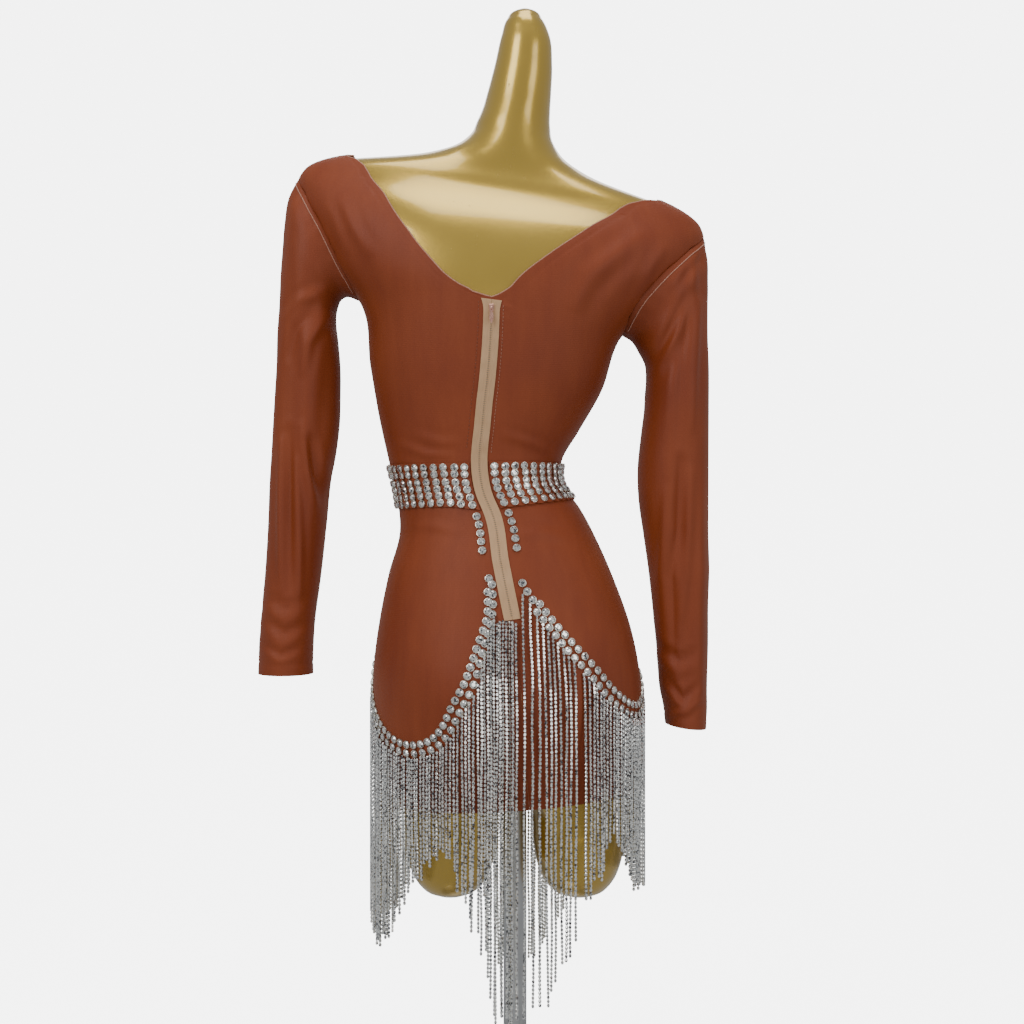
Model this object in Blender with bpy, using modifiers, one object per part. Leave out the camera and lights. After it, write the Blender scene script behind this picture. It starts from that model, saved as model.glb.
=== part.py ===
"""Fringe dress in stretch cloth on a limbless display form, with a plain pole stand.

Metres, +Z up. The zip side of the dress faces -Y and the wearer's front faces +Y.
The origin is the centre of the base's underside, and the pole stands on the Z axis.
"""

import math

import bmesh
import bpy
import numpy as np
from mathutils import Vector
from mathutils.bvhtree import BVHTree

# Clearances and walls
SEAM_GAP = 0.0003
CLOTH_LIFT = 0.0026
CLOTH_WALL = 0.0012
CLOTH_TOP = CLOTH_LIFT + CLOTH_WALL
ON_CLOTH = CLOTH_TOP + SEAM_GAP
PROBE = 0.01
MEAN_RADIUS = 0.11

# The figure that the cloth is cut for: one ring a row, around a spine that leans in both directions.
# height, middle x, roll in degrees (left side up), half width, depth at the back, depth at the front, squareness
FIGURE = np.array([
    (0.3400, 0.0011, -4.0, 0.1165, 0.094, 0.080, 2.10),
    (0.3768, 0.0000, -4.0, 0.1235, 0.100, 0.083, 2.15),
    (0.4200, -0.0054, -5.0, 0.1365, 0.108, 0.088, 2.20),
    (0.4740, -0.0076, -7.0, 0.1404, 0.112, 0.090, 2.20),
    (0.5280, -0.0130, -8.0, 0.1367, 0.110, 0.088, 2.20),
    (0.5820, -0.0184, -8.0, 0.1242, 0.104, 0.086, 2.20),
    (0.6252, -0.0227, -8.0, 0.1107, 0.094, 0.082, 2.20),
    (0.6684, -0.0270, -7.0, 0.0940, 0.080, 0.078, 2.20),
    (0.7008, -0.0383, -4.0, 0.0854, 0.072, 0.074, 2.20),
    (0.7332, -0.0427, 0.0, 0.0897, 0.073, 0.073, 2.20),
    (0.7710, -0.0383, 3.0, 0.1038, 0.080, 0.076, 2.25),
    (0.8196, -0.0313, 6.0, 0.1210, 0.090, 0.085, 2.30),
    (0.8870, -0.0259, 7.6, 0.1394, 0.098, 0.091, 2.35),
    (0.9188, -0.0272, 8.0, 0.1650, 0.098, 0.088, 2.35),
    (0.9508, -0.0225, 8.4, 0.1910, 0.092, 0.079, 2.35),
    (0.9829, -0.0177, 8.4, 0.2110, 0.078, 0.066, 2.30),
    (1.0075, -0.0141, 8.4, 0.2155, 0.062, 0.058, 2.20),
    (1.0171, -0.0127, 8.4, 0.2080, 0.057, 0.054, 2.20),
    (1.0256, -0.0114, 8.4, 0.1920, 0.054, 0.051, 2.15),
    (1.0309, -0.0106, 8.4, 0.1770, 0.052, 0.049, 2.10),
    (1.0369, -0.0098, 8.4, 0.1480, 0.050, 0.047, 2.10),
    (1.0470, -0.0083, 8.4, 0.1030, 0.048, 0.045, 2.00),
    (1.0576, -0.0067, 8.0, 0.0730, 0.047, 0.044, 2.00),
    (1.0790, -0.0036, 6.0, 0.0460, 0.044, 0.041, 2.00),
    (1.0950, -0.0016, 4.0, 0.0405, 0.041, 0.039, 2.00),
    (1.1112, 0.0016, 2.0, 0.0373, 0.038, 0.036, 2.00),
    (1.1274, 0.0043, 0.0, 0.0356, 0.035, 0.034, 2.00),
    (1.1598, 0.0092, 0.0, 0.0319, 0.031, 0.031, 2.00),
    (1.1922, 0.0113, 0.0, 0.0265, 0.026, 0.026, 2.00),
    (1.2084, 0.0103, 0.0, 0.0200, 0.020, 0.020, 2.00),
    (1.2180, 0.0106, 0.0, 0.0115, 0.011, 0.011, 2.00),
    (1.2213, 0.0108, 0.0, 0.0030, 0.003, 0.003, 2.00),
])

# Soft mounds on the figure: x, height, radius, depth (towards the front where positive)
MOUNDS = (
    (-0.092, 0.905, 0.046, 0.026),
    (0.042, 0.889, 0.046, 0.026),
    (-0.066, 0.500, 0.055, -0.010),
    (0.052, 0.484, 0.055, -0.010),
)

# Angles round a ring, in degrees: wearer's right, front middle, wearer's left, back middle
RIGHT, FRONT, LEFT, BACK = 0.0, 90.0, 180.0, 270.0

# Dress
HEM_HEIGHT = 0.374
ARMPIT_HEIGHT = 0.8874
SHOULDER_HEIGHT = 1.0046
STRAP_HEIGHT = 1.0335
ARMHOLE_OPENING = {"left": 25.0, "right": 29.0}
ARMHOLE_STEPS = 9
PANEL_COLUMNS = 6
SKIRT_ROWS = (HEM_HEIGHT, 0.402, 0.432, 0.462, 0.491, 0.520, 0.550, 0.580, 0.610, 0.638, 0.664, 0.686, 0.706,
              0.727, 0.750, 0.780, 0.812, 0.840, 0.865)
STRAP_ROWS = (1.0125, 1.0190, 1.0245, 1.0290)
NECK_ROWS = (0.8960, 0.9040, 0.9250)
SEAM_ANGLE = 0.12

# Necklines: height, and degrees in from the shoulder line
NECK_BACK = {
    "left": ((0.8960, 91.0), (0.8985, 83.0), (0.9100, 75.0), (0.9393, 66.4), (0.9635, 61.4),
             (0.9908, 56.8), (1.0174, 47.9), (1.0242, 41.0), (1.0350, 0.0)),
    "right": ((0.8960, 89.0), (0.9050, 82.3), (0.9217, 78.8), (0.9418, 74.0), (0.9595, 69.9),
              (0.9871, 63.4), (1.0169, 53.9), (1.0260, 43.0), (1.0350, 0.0)),
}
NECK_FRONT = ((0.9250, 90.0), (0.9300, 84.0), (0.9600, 70.0), (0.9900, 58.0), (1.0180, 46.0),
              (1.0242, 38.0), (1.0350, 0.0))

# Zip line: height, and degrees past the back middle
ZIP_LINE = ((0.3700, 6.5), (0.5655, 6.2), (0.6263, 4.0), (0.6883, 2.8), (0.7416, 3.6),
            (0.7926, 2.0), (0.8745, 0.8), (0.9000, 0.8))
ZIP_TOP = 0.8935
ZIP_BOTTOM = 0.5655
TAPE_WIDTH = 0.0082
TAPE_WALL = 0.0008

# Zip slider and its pull tab, in millimetres about the tab's hinge
MM = 0.001
SLIDER_HEIGHT = 0.8845
SLIDER_SIZE = (5.0, 2.0, 8.0)
SLIDER_TAPER = 0.75
LOOP_INNER, LOOP_OUTER, LOOP_THICK = 0.95, 1.60, 1.0
LOOP_STEPS = 12
TAB_HALF_THICK = 0.5
TAB_BAR_RADIUS = 0.55
TAB_SLOT_HALF, TAB_SLOT_END = 0.85, 2.3
TAB_HALF_WIDTHS = ((-0.55, 1.5), (0.5, 1.6), (2.3, 1.5), (3.6, 1.0), (6.0, 1.7), (8.5, 2.25), (11.0, 2.0),
                   (13.5, 1.2), (15.5, 0.35))

# Sleeves, a ring a row: outer x and z, inner x and z, middle y, half depth
SLEEVE_LEFT = np.array([
    (-0.2441, 1.0140, -0.1804, 0.9092, 0.000, 0.045),
    (-0.2484, 0.9870, -0.1879, 0.9060, 0.001, 0.047),
    (-0.2506, 0.9600, -0.1912, 0.8995, 0.002, 0.048),
    (-0.2527, 0.9330, -0.1933, 0.8898, 0.002, 0.048),
    (-0.2538, 0.9006, -0.1933, 0.8779, 0.003, 0.048),
    (-0.2560, 0.8682, -0.1912, 0.8606, 0.003, 0.047),
    (-0.2570, 0.8358, -0.1890, 0.8325, 0.004, 0.046),
    (-0.2592, 0.8034, -0.1890, 0.8034, 0.005, 0.045),
    (-0.2614, 0.7710, -0.1901, 0.7710, 0.006, 0.044),
    (-0.2635, 0.7386, -0.1944, 0.7386, 0.007, 0.043),
    (-0.2657, 0.7062, -0.2009, 0.7062, 0.008, 0.042),
    (-0.2678, 0.6576, -0.2052, 0.6576, 0.009, 0.041),
    (-0.2711, 0.6090, -0.2106, 0.6090, 0.010, 0.039),
    (-0.2754, 0.5604, -0.2171, 0.5604, 0.010, 0.037),
    (-0.2776, 0.5280, -0.2192, 0.5226, 0.010, 0.036),
    (-0.2786, 0.5020, -0.2192, 0.5020, 0.010, 0.035),
])
SLEEVE_RIGHT = np.array([
    (0.2074, 0.9513, 0.1264, 0.8606, 0.000, 0.045),
    (0.2084, 0.9254, 0.1339, 0.8487, 0.001, 0.047),
    (0.2084, 0.8952, 0.1404, 0.8358, 0.002, 0.048),
    (0.2084, 0.8628, 0.1415, 0.8196, 0.002, 0.048),
    (0.2095, 0.8304, 0.1404, 0.8034, 0.003, 0.048),
    (0.2095, 0.7980, 0.1393, 0.7850, 0.003, 0.047),
    (0.2095, 0.7656, 0.1361, 0.7591, 0.004, 0.046),
    (0.2095, 0.7278, 0.1328, 0.7245, 0.005, 0.045),
    (0.2095, 0.6900, 0.1339, 0.6900, 0.006, 0.044),
    (0.2095, 0.6522, 0.1393, 0.6522, 0.007, 0.043),
    (0.2106, 0.6144, 0.1447, 0.6144, 0.008, 0.042),
    (0.2095, 0.5766, 0.1490, 0.5766, 0.009, 0.040),
    (0.2095, 0.5334, 0.1534, 0.5334, 0.010, 0.038),
    (0.2084, 0.4902, 0.1566, 0.4902, 0.010, 0.036),
    (0.2084, 0.4653, 0.1609, 0.4675, 0.010, 0.035),
    (0.2074, 0.4427, 0.1631, 0.4481, 0.010, 0.035),
])

# Folds down a sleeve: first ring, last ring, angle there in degrees (0 inner, 90 back, 180 outer), width, depth
FOLDS_LEFT = (
    (3.0, 15.0, 118.0, 96.0, 22.0, -0.0035),
    (4.0, 12.0, 150.0, 140.0, 18.0, 0.0022),
    (6.0, 11.0, 40.0, 62.0, 22.0, -0.0040),
    (2.0, 6.0, 62.0, 92.0, 24.0, -0.0030),
    (4.0, 14.0, 250.0, 268.0, 24.0, -0.0030),
)
FOLDS_RIGHT = (
    (0.5, 7.0, 148.0, 108.0, 20.0, -0.0045),
    (6.0, 15.0, 108.0, 84.0, 22.0, -0.0045),
    (1.0, 5.0, 112.0, 52.0, 22.0, -0.0040),
    (8.0, 15.0, 130.0, 122.0, 18.0, 0.0025),
    (4.0, 14.0, 262.0, 244.0, 24.0, -0.0030),
)
SLEEVE_COLUMNS = 18

# Waistband of crystals: degrees round from the zip, top height, bottom height
BAND_EDGE = (
    (-285.0, 0.7277, 0.6745), (-270.0, 0.7255, 0.6775), (-252.0, 0.7195, 0.6830), (-226.0, 0.7230, 0.6880),
    (-200.0, 0.7270, 0.6800), (-90.0, 0.7290, 0.6780), (0.0, 0.7290, 0.6780), (90.0, 0.7290, 0.6850),
    (180.0, 0.7292, 0.6900), (230.0, 0.7281, 0.6876), (250.0, 0.7280, 0.6848), (271.0, 0.7277, 0.6766),
)
BAND_ROWS = 6
BAND_STONE_PITCH = 0.0105
BAND_WALL = 0.0012
BAND_LIFT = ON_CLOTH + 0.0004
BAND_STONE_RISE = 0.0026

# Crystal trims that carry the fringe, along their middle line: degrees, height, half width
TRIM_BACK_LEFT = ((267.3, 0.6138, 0.0050), (267.4, 0.5940, 0.0060), (266.2, 0.5720, 0.0080),
                  (261.6, 0.5453, 0.0092), (255.9, 0.5110, 0.0092), (249.5, 0.4864, 0.0092),
                  (244.2, 0.4640, 0.0092), (239.0, 0.4515, 0.0092), (232.0, 0.4455, 0.0092),
                  (224.0, 0.4455, 0.0092), (215.7, 0.4515, 0.0092), (206.6, 0.4630, 0.0092),
                  (197.0, 0.4800, 0.0092), (188.5, 0.4970, 0.0092), (180.6, 0.5120, 0.0092))
TRIM_FRONT_LEFT = ((179.4, 0.5143, 0.0092), (171.5, 0.5290, 0.0092), (158.0, 0.5510, 0.0092),
                   (140.0, 0.5730, 0.0092), (115.0, 0.5910, 0.0092), (91.0, 0.5990, 0.0092))
TRIM_BACK_RIGHT = ((282.3, 0.6046, 0.0050), (285.4, 0.5867, 0.0052), (291.8, 0.5582, 0.0065),
                   (299.2, 0.5290, 0.0092), (307.6, 0.5017, 0.0092), (315.9, 0.4775, 0.0092),
                   (326.6, 0.4607, 0.0092), (337.4, 0.4550, 0.0092), (348.5, 0.4610, 0.0092),
                   (359.4, 0.4715, 0.0092))
TRIM_FRONT_RIGHT = ((0.6, 0.4738, 0.0092), (11.5, 0.4850, 0.0092), (28.0, 0.5180, 0.0092),
                    (48.0, 0.5560, 0.0092), (70.0, 0.5860, 0.0092), (89.0, 0.5990, 0.0092))
TRIM_MIDDLE = ((271.8, 0.5575, 0.0050), (275.0, 0.5570, 0.0050), (278.0, 0.5560, 0.0050))
TRIM_WALL = 0.0014
TRIM_STONE_PITCH = 0.0100
TRIM_STONE_RISE = 0.0026

# Fringe: how far apart the strands stand, and how low they end at each x
STRAND_PITCH = 0.0061
STRAND_WIDTH = 0.0026
STRAND_ROOT = 0.0045
STRAND_LIFT = ON_CLOTH + 0.0019
STRAND_STEP = 0.042
STRAND_EASE = 0.0010
FRINGE_ENDS = ((-0.150, 0.300), (-0.146, 0.250), (-0.123, 0.264), (-0.103, 0.295), (-0.079, 0.329),
               (-0.066, 0.326), (-0.050, 0.284), (-0.031, 0.230), (-0.021, 0.165), (0.004, 0.163),
               (0.022, 0.176), (0.039, 0.204), (0.062, 0.257), (0.071, 0.284), (0.086, 0.303),
               (0.099, 0.345), (0.109, 0.327), (0.121, 0.287), (0.140, 0.280))
DRIFT = 0.010

# Form's thigh ends, and the stand
CROTCH_HEIGHT = 0.408
THIGH_X = {"left": -0.0690, "right": 0.0685}
THIGH_HALF_WIDTH = 0.0495
THIGH_HALF_DEPTH = 0.0540
THIGH_Y = -0.008
THIGH_END = 0.2650
FORM_COLUMNS = 22
FORM_INSET = 0.0008
POLE_RADIUS = 0.0125
POLE_TOP = 0.452
BASE_RADIUS = 0.150
BASE_THICKNESS = 0.010
COLLAR_RADIUS = 0.022
COLLAR_HEIGHT = 0.028


def clear_scene():
    for item in list(bpy.data.objects):
        bpy.data.objects.remove(item, do_unlink=True)


def material(name, colour, metallic, roughness):
    made = bpy.data.materials.new(name)
    made.use_nodes = True
    shader = made.node_tree.nodes["Principled BSDF"]
    shader.inputs["Base Color"].default_value = (*colour, 1.0)
    shader.inputs["Metallic"].default_value = metallic
    shader.inputs["Roughness"].default_value = roughness
    return made


def ring_sizes(height):
    """The figure's columns at any height, smoothly between the rows of FIGURE."""
    rows = FIGURE[:, 0]
    height = np.clip(np.asarray(height, float), rows[0], rows[-1])
    slope = np.gradient(FIGURE, rows, axis=0)
    low = np.clip(np.searchsorted(rows, height, side="right") - 1, 0, len(rows) - 2)
    step = rows[low + 1] - rows[low]
    t = ((height - rows[low]) / step)[..., None]
    step = step[..., None]
    start, end = FIGURE[low], FIGURE[low + 1]
    leave, arrive = slope[low] * step, slope[low + 1] * step
    near = start * (2 * t ** 3 - 3 * t ** 2 + 1) + leave * (t ** 3 - 2 * t ** 2 + t)
    far = end * (3 * t ** 2 - 2 * t ** 3) + arrive * (t ** 3 - t ** 2)
    return near + far


def on_figure(height, degrees):
    """Points of the bare figure at a ring's height and an angle round it."""
    sizes = ring_sizes(height)
    middle, roll, half_width, back, front, square = [sizes[..., k] for k in range(1, 7)]
    angle = np.radians(degrees)
    across, deep = np.cos(angle), np.sin(angle)
    stretch = (np.abs(across) ** square + np.abs(deep) ** square) ** (-1 / square)
    reach = half_width * across * stretch
    y = np.where(deep > 0, front, back) * deep * stretch
    x = middle + reach * np.cos(np.radians(roll))
    z = height - reach * np.sin(np.radians(roll))
    for mound_x, mound_z, radius, depth in MOUNDS:
        side = np.clip(np.sign(depth) * deep, 0, 1)
        y = y + depth * side * np.exp(-((x - mound_x) ** 2 + (z - mound_z) ** 2) / radius ** 2)
    return np.stack(np.broadcast_arrays(x, y, z), -1)


def skin(height, degrees, lift):
    """Points a given distance outside the figure."""
    height, degrees = np.broadcast_arrays(np.asarray(height, float), np.asarray(degrees, float))
    round_it = on_figure(height, degrees + 0.05) - on_figure(height, degrees - 0.05)
    up_it = on_figure(height + 1e-4, degrees) - on_figure(height - 1e-4, degrees)
    normal = np.cross(round_it, up_it)
    normal /= np.linalg.norm(normal, axis=-1, keepdims=True)
    return on_figure(height, degrees) + normal * np.asarray(lift)[..., None]


class Cloth:
    """The dress's outer surface as its panels build it, which what lies on them is made from."""

    facets = None

    @classmethod
    def take(cls, grids):
        points, faces = [], []
        for grid in grids:
            faces += grid_faces(*grid.shape[:2], False, len(points))
            points += [Vector(map(float, p)) for p in grid.reshape(-1, 3)]
        cls.facets = BVHTree.FromPolygons(points, faces)


def on_cloth(height, degrees, lift, reach=0.006):
    """Points a given distance outside the figure, moved out where a panel's flat facets near by stand proud."""
    smooth = skin(height, degrees, lift)
    normal = (smooth - skin(height, degrees, lift - PROBE)) / PROBE
    proud = np.zeros(smooth.shape[:-1])
    for rise in reach * np.linspace(-1, 1, 5):
        for turn in reach * np.linspace(-1, 1, 5):
            near_height = height + rise
            near_degrees = degrees + np.degrees(turn / MEAN_RADIUS)
            start = skin(near_height, near_degrees, CLOTH_TOP + PROBE)
            inward = skin(near_height, near_degrees, CLOTH_TOP) - start
            for at in np.ndindex(proud.shape):
                hit = Cloth.facets.ray_cast(Vector(map(float, start[at])), Vector(map(float, inward[at])), 2 * PROBE)
                if hit[0] is not None:
                    proud[at] = max(proud[at], PROBE - hit[3])
    return smooth + normal * proud[..., None]


def look_up(table, value):
    """Second column of a two-column table at a value of its first column."""
    keys = np.array([row[0] for row in table])
    values = np.array([row[1] for row in table])
    order = np.argsort(keys)
    return np.interp(value, keys[order], values[order])


def grid_faces(rows, columns, closed, start=0):
    """Quads of a grid of points, row by row; closed joins the last column to the first."""
    faces = []
    for r in range(rows - 1):
        for c in range(columns if closed else columns - 1):
            n = (c + 1) % columns
            here, above = start + r * columns, start + (r + 1) * columns
            faces.append((here + c, here + n, above + n, above + c))
    return faces


def new_object(name, points, faces, finish, parts):
    """A mesh object with its faces turned outward, shaded smooth but for its sharp edges."""
    mesh = bpy.data.meshes.new(name)
    mesh.from_pydata([tuple(map(float, p)) for p in points], [], faces)
    shape = bmesh.new()
    shape.from_mesh(mesh)
    bmesh.ops.remove_doubles(shape, verts=shape.verts, dist=1e-6)
    bmesh.ops.recalc_face_normals(shape, faces=shape.faces)
    shape.to_mesh(mesh)
    shape.free()
    mesh.shade_smooth()
    mesh.set_sharp_from_angle(angle=math.radians(40))
    mesh.materials.append(finish)
    made = bpy.data.objects.new(name, mesh)
    parts.objects.link(made)
    return made


def wall_shape(outer, inner, closed=False, joined_rows=0):
    """Points and faces of a wall between two grids. Its last column has no rim up to joined_rows."""
    rows, columns = outer.shape[:2]
    count = rows * columns
    points = list(outer.reshape(-1, 3)) + list(inner.reshape(-1, 3))
    faces = grid_faces(rows, columns, closed)
    faces += [tuple(reversed(f)) for f in grid_faces(rows, columns, closed, count)]
    for row in (0, rows - 1):
        for c in range(columns if closed else columns - 1):
            a, b = row * columns + c, row * columns + (c + 1) % columns
            faces.append((a, b, b + count, a + count))
    for column in () if closed else (0, columns - 1):
        for r in range(joined_rows if column else 0, rows - 1):
            a, b = r * columns + column, (r + 1) * columns + column
            faces.append((a, b, b + count, a + count))
    return points, faces


def raise_stones(points, faces, stones, count, rise):
    """Turns each of the first faces of a wall into a four-sided stone."""
    for k in range(stones):
        a, b, c, d = faces[k]
        middle = (points[a] + points[b] + points[c] + points[d]) / 4
        inside = sum(points[i + count] for i in faces[k]) / 4
        normal = np.cross(points[c] - points[a], points[d] - points[b])
        normal *= np.sign(np.dot(normal, middle - inside)) / np.linalg.norm(normal)
        top = len(points)
        points.append(middle + normal * rise)
        faces[k] = (a, b, top)
        faces += [(b, c, top), (c, d, top), (d, a, top)]


def wall(name, outer, inner, finish, parts, stone_rise=0.0):
    """A closed wall between two grids; stone_rise raises the middle of each outer quad into a stone."""
    points, faces = wall_shape(outer, inner)
    rows, columns = outer.shape[:2]
    if stone_rise:
        raise_stones(points, faces, (rows - 1) * (columns - 1), rows * columns, stone_rise)
    return new_object(name, points, faces, finish, parts)


def arm_rows():
    """Heights of the rows between armpit and shoulder, close together at both ends."""
    k = np.arange(ARMHOLE_STEPS + 1) / ARMHOLE_STEPS
    return ARMPIT_HEIGHT + (SHOULDER_HEIGHT - ARMPIT_HEIGHT) * (1 - np.cos(np.pi * k)) / 2


def armhole_angle(height, side):
    """How far the armhole is cut in from the side, in degrees."""
    part = np.clip((height - ARMPIT_HEIGHT) / (SHOULDER_HEIGHT - ARMPIT_HEIGHT), 0, 1)
    return ARMHOLE_OPENING[side] * 2 * np.sqrt(part * (1 - part))


def panel_heights():
    rows = [SKIRT_ROWS, arm_rows(), NECK_ROWS, STRAP_ROWS, (STRAP_HEIGHT,)]
    return np.unique(np.round(np.concatenate(rows), 5))


def panel_grid(side, face, inner_edge):
    """One half of the dress at the front or back: rows of points from the side to the middle."""
    start = LEFT if side == "left" else RIGHT + (360.0 if face == "back" else 0.0)
    turn = 1.0 if (side == "left") == (face == "back") else -1.0
    heights = panel_heights()
    angles = []
    for height in heights:
        near = max(armhole_angle(height, side), SEAM_ANGLE)
        far = max(inner_edge(height), near + 1.0)
        angles.append(start + turn * np.linspace(near, far, PANEL_COLUMNS + 1))
    angles = np.array(angles)
    return skin(heights[:, None], angles, CLOTH_TOP), skin(heights[:, None], angles, CLOTH_LIFT)


def back_edge(side):
    """The zip line below the neckline, and the neckline above it, as degrees in from the side."""
    sign = 1.0 if side == "left" else -1.0

    def edge(height):
        middle = 90.0 + sign * look_up(ZIP_LINE, height) - SEAM_ANGLE
        return middle if height < NECK_BACK[side][0][0] + 1e-6 else min(middle, look_up(NECK_BACK[side], height))
    return edge


def front_edge(height):
    return look_up(NECK_FRONT, height)


def make_panels(cloth, parts):
    """Two back panels that meet at the zip, and a front in one piece."""
    outers = []
    for side in ("left", "right"):
        outer, inner = panel_grid(side, "back", back_edge(side))
        outers.append(outer)
        wall("back_" + side, outer, inner, cloth, parts)
    points, faces = [], []
    for side in ("left", "right"):
        outer, inner = panel_grid(side, "front", front_edge)
        outers.append(outer)
        joined = int(np.sum(panel_heights() < NECK_FRONT[0][0] - 1e-6))
        new_points, new_faces = wall_shape(outer, inner, joined_rows=joined)
        faces += [tuple(i + len(points) for i in face) for face in new_faces]
        points += new_points
    new_object("front", points, faces, cloth, parts)
    Cloth.take(outers)


def sleeve_grid(side):
    """Rings of a sleeve from the armhole down to the cuff, with its long folds."""
    table, folds = (SLEEVE_LEFT, FOLDS_LEFT) if side == "left" else (SLEEVE_RIGHT, FOLDS_RIGHT)
    degrees = np.arange(SLEEVE_COLUMNS) * 360.0 / SLEEVE_COLUMNS
    angle = np.radians(degrees)
    opening = ARMHOLE_OPENING[side] - 3 * SEAM_ANGLE
    low, high = ARMPIT_HEIGHT + 3 * SEAM_GAP, SHOULDER_HEIGHT - 2 * SEAM_GAP
    heights = low + (high - low) * (1 - np.cos(angle)) / 2
    around_body = (LEFT + opening * np.sin(angle)) if side == "left" else (360.0 - opening * np.sin(angle))
    rings = [skin(heights, around_body, CLOTH_TOP)]
    for k, (outer_x, outer_z, inner_x, inner_z, middle_y, half_depth) in enumerate(table, start=1):
        dent = np.zeros(SLEEVE_COLUMNS)
        for first, last, start, end, width, depth in folds:
            along = (k - first) / (last - first)
            fade = math.sin(math.pi * min(max(along, 0.0), 1.0)) ** 0.5
            off = (degrees - (start + (end - start) * along) + 180.0) % 360.0 - 180.0
            dent += depth * fade * np.exp(-(off / width) ** 2)
        half_x, half_z = (outer_x - inner_x) / 2, (outer_z - inner_z) / 2
        swell = 1 + dent / half_depth
        x = (outer_x + inner_x) / 2 - half_x * np.cos(angle) * swell
        z = (outer_z + inner_z) / 2 - half_z * np.cos(angle) * swell
        y = middle_y - half_depth * np.sin(angle) * swell
        rings.append(np.stack([x, y, z], -1))
    outer = np.array(rings)
    around = np.roll(outer, -1, axis=1) - np.roll(outer, 1, axis=1)
    normal = np.cross(around, np.gradient(outer, axis=0))
    normal /= np.linalg.norm(normal, axis=-1, keepdims=True)
    away = outer - outer.mean(axis=1, keepdims=True)
    normal *= np.sign(np.sum(normal * away))
    inner = outer - normal * CLOTH_WALL
    inner[0] = skin(heights, around_body, CLOTH_LIFT)
    return outer, inner


def make_sleeves(cloth, parts):
    for side in ("left", "right"):
        outer, inner = sleeve_grid(side)
        points, faces = wall_shape(outer, inner, closed=True)
        new_object("sleeve_" + side, points, faces, cloth, parts)


def band_grid(lift):
    """Rows of points of the waistband, from the zip's one side round the front to the other."""
    zip_left = BACK + look_up(ZIP_LINE, 0.70)
    tape = math.degrees(TAPE_WIDTH / 0.0854) + 0.9
    first, last = zip_left + tape - 360.0, zip_left - tape
    samples = np.linspace(first, last, 181)
    line = skin(0.705, samples, ON_CLOTH)
    run = np.concatenate([[0], np.cumsum(np.linalg.norm(np.diff(line, axis=0), axis=1))])
    columns = int(round(run[-1] / BAND_STONE_PITCH)) + 1
    angles = np.interp(np.linspace(0, run[-1], columns), run, samples)
    turns = [row[0] for row in BAND_EDGE]
    top = np.interp(angles, turns, [row[1] for row in BAND_EDGE])
    bottom = np.interp(angles, turns, [row[2] for row in BAND_EDGE])
    near_zip = np.exp(-(angles - first) / 30.0) + np.exp(-(last - angles) / 30.0)
    rows = []
    for k in range(BAND_ROWS + 1):
        heights = bottom + (top - bottom) * k / BAND_ROWS
        shift = look_up(ZIP_LINE, heights) - look_up(ZIP_LINE, 0.70)
        rows.append(on_cloth(heights, angles + shift * near_zip, lift))
    return np.array(rows)


def make_waistband(stones, parts):
    wall("waistband", band_grid(BAND_LIFT + BAND_WALL), band_grid(BAND_LIFT), stones, parts,
         stone_rise=BAND_STONE_RISE)


def make_tapes(cloth, parts):
    """The zip's two tapes, side by side over the edges of the back."""
    heights = np.linspace(ZIP_BOTTOM, ZIP_TOP, 14)
    radius = ring_sizes(heights)[..., 3]
    middle = BACK + look_up(ZIP_LINE, heights)
    for side, sign in (("left", -1.0), ("right", 1.0)):
        near = middle + sign * SEAM_ANGLE
        far = middle + sign * np.degrees(TAPE_WIDTH / radius)
        angles = np.stack([near, (near + far) / 2, far], -1)
        rows = np.repeat(heights[:, None], 3, axis=1)
        wall("zip_tape_" + side, on_cloth(rows, angles, ON_CLOTH + TAPE_WALL), on_cloth(rows, angles, ON_CLOTH),
             cloth, parts)


def hinge_point():
    """Where the pull tab's bar lies: out from the tape, on the zip line."""
    degrees = BACK + look_up(ZIP_LINE, SLIDER_HEIGHT)
    lift = ON_CLOTH + TAPE_WALL + SEAM_GAP + (SLIDER_SIZE[1] + LOOP_INNER + 0.05) * MM
    return on_cloth(SLIDER_HEIGHT, degrees, lift)


def make_slider(metal, parts, tools):
    """Slider body with the loop that carries the pull tab."""
    at = hinge_point()
    bpy.ops.mesh.primitive_cube_add(size=1.0)
    slider = bpy.context.object
    slider.name = "zip_slider"
    width, deep, tall = SLIDER_SIZE
    for corner in slider.data.vertices:
        taper = SLIDER_TAPER if corner.co.z < 0 else 1.0
        corner.co.x *= width * MM * taper
        corner.co.y = corner.co.y * deep * MM + (LOOP_INNER + 0.05 + deep / 2) * MM
        corner.co.z *= tall * MM
    move_to(slider, parts, metal)
    slider.location = at
    bevel = slider.modifiers.new("soft edges", "BEVEL")
    bevel.width = 0.4 * MM
    bevel.segments = 1
    loop = []
    for k in range(LOOP_STEPS):
        angle = 2 * math.pi * k / LOOP_STEPS
        for x in (-LOOP_THICK / 2, LOOP_THICK / 2):
            for radius in (LOOP_INNER, LOOP_OUTER):
                loop.append((x * MM, radius * MM * math.cos(angle), radius * MM * math.sin(angle)))
    faces = []
    for k in range(LOOP_STEPS):
        a, b = 4 * k, 4 * ((k + 1) % LOOP_STEPS)
        faces += [(a, b, b + 2, a + 2), (a + 1, a + 3, b + 3, b + 1)]
        faces += [(a, a + 1, b + 1, b), (a + 2, b + 2, b + 3, a + 3)]
    bail = new_object("bail loop", loop, faces, metal, tools)
    bail.location = at
    hide_tool(bail)
    join = slider.modifiers.new("loop", "BOOLEAN")
    join.operation = "UNION"
    join.object = bail


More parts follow.
